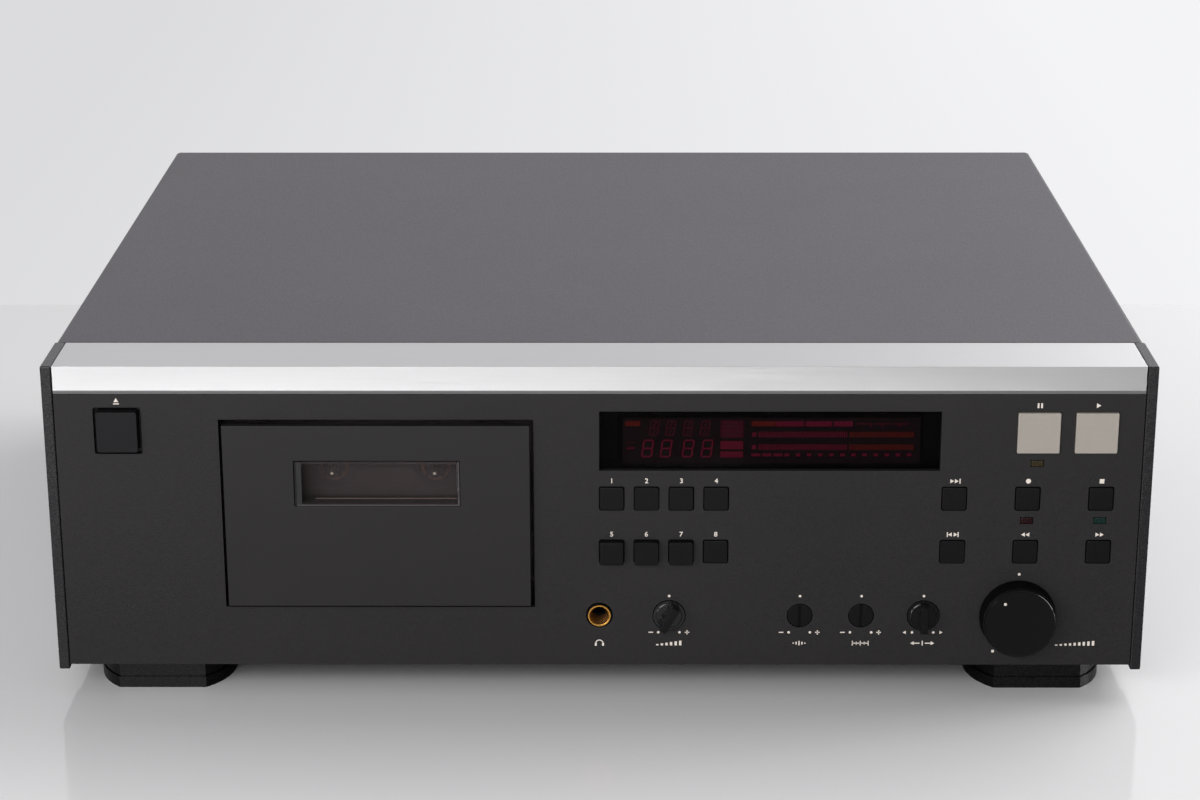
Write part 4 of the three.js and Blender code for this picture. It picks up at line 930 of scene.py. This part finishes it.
class DeckLamps(bpy.types.Operator):
    """The three small lamps"""

    bl_idname = "deck.lamps"
    bl_label = "Lamps"

    def execute(self, context):
        edge = context.scene.deck_sizes.moulded_edge
        for node, material in (("pause_lamp", "amber"), ("record_lamp", "red"), ("play_lamp", "green")):
            refined(node, material, edge, 3)
        return {"FINISHED"}


class DeckSigns(bpy.types.Operator):
    """Printed signs of the front panel"""

    bl_idname = "deck.signs"
    bl_label = "Printed signs"

    # Millimetres, with heights above the cheeks' foot or a dial's axis
    tall = 2.1
    stroke = 0.45
    eject_rows = (116.7, 115.4)
    light_key_row = 114.75
    key_rows = (82.35, 59.1)
    dot_row = 8.7
    end_row = -7.5
    label_row = 10.85
    label_foot = 9.8
    step_pitch = 1.9
    arrow_size = 1.8
    figure_size = 2.9
    boldness = 0.05
    curve_steps = 4  # more would leave slivers inside the bolder outline

    def bar(self, across, up, width, height):
        half = Vector((width / 2, self.stands, height / 2)) * MM
        centre = spot(across, 0, up)
        block(centre - half, centre + half)

    def outline(self, sides, across, up, width, turn=0.0):
        """Adds a flat mark with that many corners, the first of them at its top before the turn."""
        bpy.ops.mesh.primitive_circle_add(
            vertices=sides, radius=width * MM / 2, fill_type="NGON", location=spot(across, self.stands, up),
            rotation=(math.pi / 2, math.radians(turn), 0)
        )
        bpy.ops.mesh.extrude_region_move(TRANSFORM_OT_translate={"value": (0, -2 * self.stands * MM, 0)})
        outwards()

    def arrow(self, across, up, size, turn):
        """Arrowhead whose tip points up, or right after a turn of 90 degrees, or left after -90."""
        self.outline(3, across, up, size * 2 / math.sqrt(3), turn)

    def dot(self, across, up, width=1.1):
        self.outline(20, across, up, width)

    def steps(self, start, count, first, rise):
        """Row of bars that grow to the right: a level that rises."""
        for step in range(count):
            height = first + step * rise
            self.bar(start + step * self.step_pitch, self.label_foot + height / 2, 1.0, height)

    def key_signs(self, across):
        """Pictograms over the eject button, the light keys and the tape keys."""
        eject, pause, play, record, stop, search = (across[node] for node in (
            "eject_button", "pause_key", "play_key", "record_key", "stop_key", "quick_search_key"
        ))
        upper, lower = self.key_rows
        size = self.arrow_size
        self.arrow(eject, self.eject_rows[0], 2.0, 0)
        self.bar(eject, self.eject_rows[1], 2.4, self.stroke)
        self.arrow(play, self.light_key_row, self.tall, 90)
        self.dot(record, upper, 2.1)
        self.bar(stop, upper, 1.9, 1.9)
        self.bar(search + 2.1, upper, self.stroke, self.tall)
        for side in (-1, 1):
            self.bar(pause + side * 0.7, self.light_key_row, 0.75, self.tall)
            self.arrow(record + side * size / 2, lower, size, -90)
            self.arrow(stop + side * size / 2, lower, size, 90)
            self.arrow(search + side * size / 2 - 0.4, upper, size, 90)
            self.arrow(search + side * size / 2, lower, size, side * 90)
            self.bar(search + side * 2.2, lower, self.stroke, self.tall)

    def dial_signs(self, across, axis):
        """Dots and ends of travel round the dials, and the level knob's dots and rising steps."""
        row = axis + self.end_row
        for node in ("volume_knob", "bias_trimmer", "calibration_trimmer", "balance_knob"):
            centre = across[node]
            self.dot(centre, axis + self.dot_row)
            for side in (-1, 1):
                self.dot(centre + side * 4.4, row)
                if node == "balance_knob":
                    self.arrow(centre + side * 7.4, row, 1.5, side * 90)
                else:
                    self.bar(centre + side * 7.5, row, 1.9, self.stroke)
            if node != "balance_knob":
                self.bar(centre + 7.5, row, self.stroke, 1.9)
        level = across["input_level_knob"]
        self.dot(level, 41.6, 1.2)
        self.dot(level - 9.5, 7.3, 1.2)
        self.steps(189.5, 9, 0.5, 0.2)
        self.steps(across["volume_knob"] - 4.75, 6, 0.6, 0.3)

    def headphones(self, across):
        """Arched band with its two cushions under the phones socket."""
        bpy.ops.mesh.primitive_torus_add(
            location=spot(across, 0, self.label_row - 0.2), rotation=(math.pi / 2, 0, 0),
            major_radius=1.5 * MM, minor_radius=0.22 * MM, major_segments=32, minor_segments=8
        )
        bpy.ops.transform.resize(value=(1, 0.14, 1), center_override=spot(across, 0, self.label_row))
        cut = spot(across, 0, self.label_row - 0.3)
        bpy.ops.mesh.bisect(plane_co=cut, plane_no=(0, 0, 1), use_fill=True, clear_inner=True)
        for side in (-1.5, 1.5):
            self.bar(across + side, self.label_row - 0.6, 0.8, 1.3)

    def label_signs(self, across):
        """Pictograms under the trimmers and the balance dial."""
        bias, calibration = across["bias_trimmer"], across["calibration_trimmer"]
        balance, row = across["balance_knob"], self.label_row
        for step, height in enumerate((0.5, 1.2, 1.9, 1.2, 0.5)):
            self.bar(bias - 2.4 + step * 1.2, row, 0.55, height)
        self.bar(calibration, row, 7.0, 0.4)
        for step in range(5):
            self.bar(calibration - 3.3 + step * 1.65, row, 0.4, 2.1 if step % 2 == 0 else 1.3)
        self.bar(balance, row, self.stroke, self.tall)
        for side in (-1, 1):
            self.bar(balance + side * 2.4, row, 2.6, self.stroke)
            self.arrow(balance + side * 4.0, row, 1.7, side * 90)

    def figure(self, text, across, up):
        """Plain number over a key."""
        fresh()
        bpy.ops.object.text_add(location=spot(across, 0, up), rotation=(math.pi / 2, 0, 0))
        letter = bpy.context.object.data
        letter.body = text
        letter.size = self.figure_size * MM
        letter.align_x = letter.align_y = "CENTER"
        letter.extrude = self.stands * MM
        letter.offset = self.boldness * MM
        letter.resolution_u = self.curve_steps
        bpy.ops.object.convert(target="MESH")
        bpy.ops.object.transform_apply(location=True, rotation=True, scale=True)
        return bpy.context.object

    def execute(self, context):
        self.stands = context.scene.deck_sizes.print_height / MM
        across = {node: middle(node).x / MM for node in BODY}
        # The leaning grip makes the volume dial's box uneven, so its place is its joint's
        volume_joint = next(joint for joint in frame["joints"] if joint["name"] == "volume_turn")
        across["volume_knob"] = volume_joint["pos_m"][0] / MM
        signs = begun("printed_signs")
        self.key_signs(across)
        self.dial_signs(across, (middle("bias_trimmer").z - FOOT) / MM)
        self.headphones(across["phones_socket_sleeve"])
        self.label_signs(across)
        figures = [
            self.figure(str(number), across[node], row)
            for keys, row, first in zip((UPPER_KEYS, LOWER_KEYS), self.key_rows, (1, 5))
            for number, node in enumerate(keys, first)
        ]
        picked(signs)
        for figure in figures:
            figure.select_set(True)
        bpy.ops.object.join()
        bpy.ops.object.mode_set(mode="EDIT")
        bpy.ops.mesh.select_all(action="SELECT")
        bpy.ops.mesh.remove_doubles(threshold=MERGE_REACH)
        bpy.ops.mesh.normals_make_consistent(inside=False)
        finished(signs, "ink", "case")
        return {"FINISHED"}


class DeckBoards(bpy.types.Operator):
    """Circuit boards and mains transformer inside the case"""

    bl_idname = "deck.boards"
    bl_label = "Boards and transformer"

    board_edge = 0.2 * MM
    core_edge = 0.5 * MM
    parts_up = 17 * MM  # the board's parts stand above this height over the cheeks' foot
    sleeves_end = -10 * MM  # right end of the capacitors
    sink_start = 0.0  # left end of the heat sink
    winding = 12.5 * MM  # how far the winding stands out of the core

    def execute(self, context):
        for node in ("control_board", "dial_board"):
            painted(node, "black_board")
        board = refined("main_board", "board", self.board_edge)
        low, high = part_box("main_board")
        above = FOOT + self.parts_up
        faced(board, "sleeve", (low.x, low.y, above), (self.sleeves_end, high.y, high.z))
        faced(board, "black_anodised", (self.sink_start, low.y, above), high)
        core = refined("mains_transformer", "laminations", self.core_edge)
        low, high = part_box("mains_transformer")
        faced(core, "copper", low, (high.x, low.y + self.winding, high.z))
        faced(core, "copper", (low.x, high.y - self.winding, low.z), high)
        return {"FINISHED"}


class DeckRear(bpy.types.Operator):
    """Line sockets, mains inlet and the screws of the rear panel"""

    bl_idname = "deck.rear"
    bl_label = "Rear and screws"

    edge = 0.2 * MM
    contacts_in = 1.2 * MM  # the sockets' plated rings reach this far into the panel
    blades_low = Vector((5.5, 6.0, 5.2)) * MM  # room round the inlet's three blades
    blades_high = Vector((5.5, 4.0, 5.2)) * MM
    screw = ((2.6, 0.0), (2.6, 0.5), (2.1, 1.1), (1.2, 1.4))  # radius and height of a screw head
    screw_edge = 0.1 * MM
    screw_sunk = 0.01 * MM
    screw_margin = 6 * MM
    screws_across = (-212, -70, 70, 212)

    def execute(self, context):
        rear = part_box("rear_panel")[1].y
        sockets = refined("line_sockets", "inner_plastic", self.edge)
        low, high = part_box("line_sockets")
        faced(sockets, "nickel", (low.x, rear - self.contacts_in, low.z), high)
        inlet = refined("mains_inlet", "inner_plastic", self.edge)
        low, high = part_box("mains_inlet")
        faced(inlet, "nickel", low + self.blades_low, high - self.blades_high)
        low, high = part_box("rear_panel")
        screws = begun("rear_panel_screws")
        for across in self.screws_across:
            for height in (low.z + self.screw_margin, high.z - self.screw_margin):
                turned(self.screw, Vector((across * MM, rear - self.screw_sunk, height)), 24)
        finished(screws, "black_anodised", "case", self.screw_edge)
        return {"FINISHED"}


class DeckStudioSetup(bpy.types.Operator):
    """Floor, lamps, world and camera"""

    bl_idname = "deck.studio"
    bl_label = "Studio"

    sheet_end = 0.392  # rear edge of the floor sheet behind the deck's middle, in metres
    reach = 2.6
    paper_half = 0.42  # the backdrop's light rises between these places or directions left and right
    world_half = 0.25
    white = shaded("fbfbfd")
    background = (0.74, 0.94)  # light of the backdrop at its left and right
    dark_side = 0.08  # share of it that the room's dark side in front of the deck has
    dusk = (-0.1, 0.35)  # direction backwards at which that side ends, and at which the backdrop is whole
    mirrored_share = 0.12
    front_share = 0.45  # share of the room's light that comes from straight in front

    # Name of each lamp, its place and what it is aimed at, and its width and height
    lamps = (
        ("key", (-0.7, -1.4, 0.8), (-0.05, -0.15, 0.1), 2.0, 0.55),
        ("strip", (-0.45, -1.5, 0.1), (-0.05, -0.15, 0.1), 2.3, 0.12),
        ("top", (1.1, 0.7, 1.3), (0, 0, 0.12), 1.2, 1.2),
        ("side", (1.5, 0.1, 0.6), (0, 0, 0.1), 0.5, 1.1),
    )

    def lamp(self, name, place, target, width, height, energy):
        """Soft lamp that the camera doesn't see."""
        bpy.ops.object.light_add(type="AREA", location=place)
        lamp = bpy.context.object
        lamp.name = name
        lamp.data.shape = "RECTANGLE"
        lamp.data.size = width
        lamp.data.size_y = height
        lamp.data.energy = energy
        lamp.visible_camera = False
        aim = Vector(target) - Vector(place)
        lamp.rotation_euler = aim.to_track_quat("-Z", "Y").to_euler()

    def sheet(self, name, front, back, material):
        """Level sheet as wide as the studio between two distances behind the deck's middle."""
        fresh()
        bpy.ops.mesh.primitive_grid_add(x_subdivisions=8, y_subdivisions=8, size=1)
        sheet = bpy.context.object
        sheet.scale = (2 * self.reach, back - front, 1)
        sheet.location.y = (front + back) / 2
        bpy.ops.object.transform_apply(location=True, scale=True)
        sheet.name = name
        sheet.data.materials.append(material)

    def floor(self, tone):
        """Glossy white sheet under the deck and the white backdrop paper behind it."""
        acrylic = grained("White acrylic sheet", tone, 0.08, 500, 0, 0.01, 0.02, IOR=1.49)
        tree = acrylic.node_tree
        tinted = tree.nodes["Principled BSDF"].inputs["Base Color"]
        glossy = add(tree, "LightPath", output="Is Glossy Ray")
        # Mirror images of the sheet are kept dim, as the dark front of the deck shows them
        dimmed = add(
            tree, "Mix", {"data_type": "RGBA", 7: shaded(tone, self.mirrored_share)},
            {0: glossy, 6: tinted.links[0].from_socket}, 2
        )
        tree.links.new(dimmed, tinted)
        self.sheet("studio_floor", self.sheet_end - self.reach, self.sheet_end, acrylic)
        paper = grained("White backdrop paper", tone, 0.8, 2, 0, 0.01, 0.05)
        tree = paper.node_tree
        across = add(tree, "SeparateXYZ", {}, {0: add(tree, "TexCoord", output="Object")}, "X")
        bright = self.brightness(tree, across, self.paper_half)
        glow = add(tree, "Emission", {"Color": self.white}, {"Strength": bright})
        ray = add(tree, "LightPath", output="Is Camera Ray")
        plain = tree.nodes["Principled BSDF"].outputs[0]
        mixed = add(tree, "MixShader", {}, {0: ray, 1: plain, 2: glow})
        tree.links.new(mixed, tree.nodes["Material Output"].inputs["Surface"])
        self.sheet("studio_paper", self.sheet_end, self.sheet_end + self.reach, paper)

    def brightness(self, tree, across, half):
        """Light of the backdrop, which rises from left to right between plus and minus half."""
        left, right = self.background
        values = {"From Min": -half, "From Max": half, "To Min": left, "To Max": right}
        return add(tree, "MapRange", values, {"Value": across})

    def room(self, scene, daylight):
        """Even light from all round; mirrors see a white backdrop behind and a dark room in front."""
        world = bpy.data.worlds.new("Studio room")
        scene.world = world
        world.use_nodes = True
        tree = world.node_tree
        tree.nodes.clear()
        rays = [
            add(tree, "LightPath", output=kind)
            for kind in ("Is Camera Ray", "Is Glossy Ray", "Is Transmission Ray")
        ]
        mirrored = add(tree, "Math", {"operation": "MAXIMUM"}, {0: rays[1], 1: rays[2]})
        direction = add(tree, "TexCoord", output="Generated")
        across, backwards = (
            add(tree, "SeparateXYZ", {}, {0: direction}, axis) for axis in ("X", "Y")
        )
        start, end = self.dusk
        behind = add(
            tree, "MapRange", {"From Min": start, "From Max": end, "To Min": self.dark_side},
            {"Value": backwards}
        )
        bright = self.brightness(tree, across, self.world_half)
        mirror_light = add(tree, "Math", {"operation": "MULTIPLY"}, {0: bright, 1: behind})
        even = add(
            tree, "MapRange",
            {"From Min": -1.0, "To Min": daylight * self.front_share, "To Max": daylight},
            {"Value": backwards}
        )
        lit, reflected, plain = (
            add(tree, "Background", {"Color": self.white}, {"Strength": strength})
            for strength in (even, mirror_light, bright)
        )
        mixed = add(tree, "MixShader", {}, {0: mirrored, 1: lit, 2: reflected})
        shown = add(tree, "MixShader", {}, {0: rays[0], 1: mixed, 2: plain})
        add(tree, "OutputWorld", {}, {"Surface": shown})

    def execute(self, context):
        scene = context.scene
        studio = scene.deck_studio
        self.floor(scene.deck_colours.floor)
        for name, *setting in self.lamps:
            self.lamp(name + "_lamp", *setting, getattr(studio, name + "_power"))
        self.room(scene, studio.daylight)
        bpy.ops.object.camera_add(location=CAMERA_PLACE)
        camera = bpy.context.object
        camera.data.lens = CAMERA_LENS
        camera.data.sensor_width = CAMERA_SENSOR
        camera.data.clip_end = 50
        tilt, roll, yaw = (math.radians(angle) for angle in CAMERA_TURN)
        turn = Matrix.Rotation(yaw, 3, "Z") @ Matrix.Rotation(tilt, 3, "X") @ Matrix.Rotation(roll, 3, "Z")
        camera.rotation_euler = turn.to_euler()
        scene.camera = camera
        scene.view_settings.view_transform = "Standard"
        return {"FINISHED"}


STEPS = (
    DeckCase, DeckFeet, DeckDoor, DeckTransport, DeckKeys, DeckLevelKnob, DeckDials, DeckPhones, DeckDisplay,
    DeckLamps, DeckSigns, DeckBoards, DeckRear, DeckStudioSetup
)


class DeckPanel(bpy.types.Panel):
    """Steps and settings of the cassette deck"""

    bl_idname = "VIEW3D_PT_deck"
    bl_label = "Cassette deck"
    bl_space_type = "VIEW_3D"
    bl_region_type = "UI"
    bl_category = "Deck"

    def draw(self, context):
        for step in STEPS:
            self.layout.operator(step.bl_idname)
        for group in (context.scene.deck_colours, context.scene.deck_sizes, context.scene.deck_studio):
            box = self.layout.box()
            for name in group.bl_rna.properties.keys():
                if name not in ("rna_type", "name"):
                    box.prop(group, name)


GROUPS = (("deck_colours", DeckColours), ("deck_sizes", DeckSizes), ("deck_studio", DeckStudio))


def register():
    for name, group in GROUPS:
        bpy.utils.register_class(group)
        setattr(bpy.types.Scene, name, bpy.props.PointerProperty(type=group))
    for kind in (*STEPS, DeckPanel):
        bpy.utils.register_class(kind)


def unregister():
    for kind in (DeckPanel, *reversed(STEPS)):
        bpy.utils.unregister_class(kind)
    for name, group in reversed(GROUPS):
        delattr(bpy.types.Scene, name)
        bpy.utils.unregister_class(group)


def main():
    register()
    for step in STEPS:
        family, name = step.bl_idname.split(".")
        getattr(getattr(bpy.ops, family), name)()


if __name__ == "__main__":
    main()
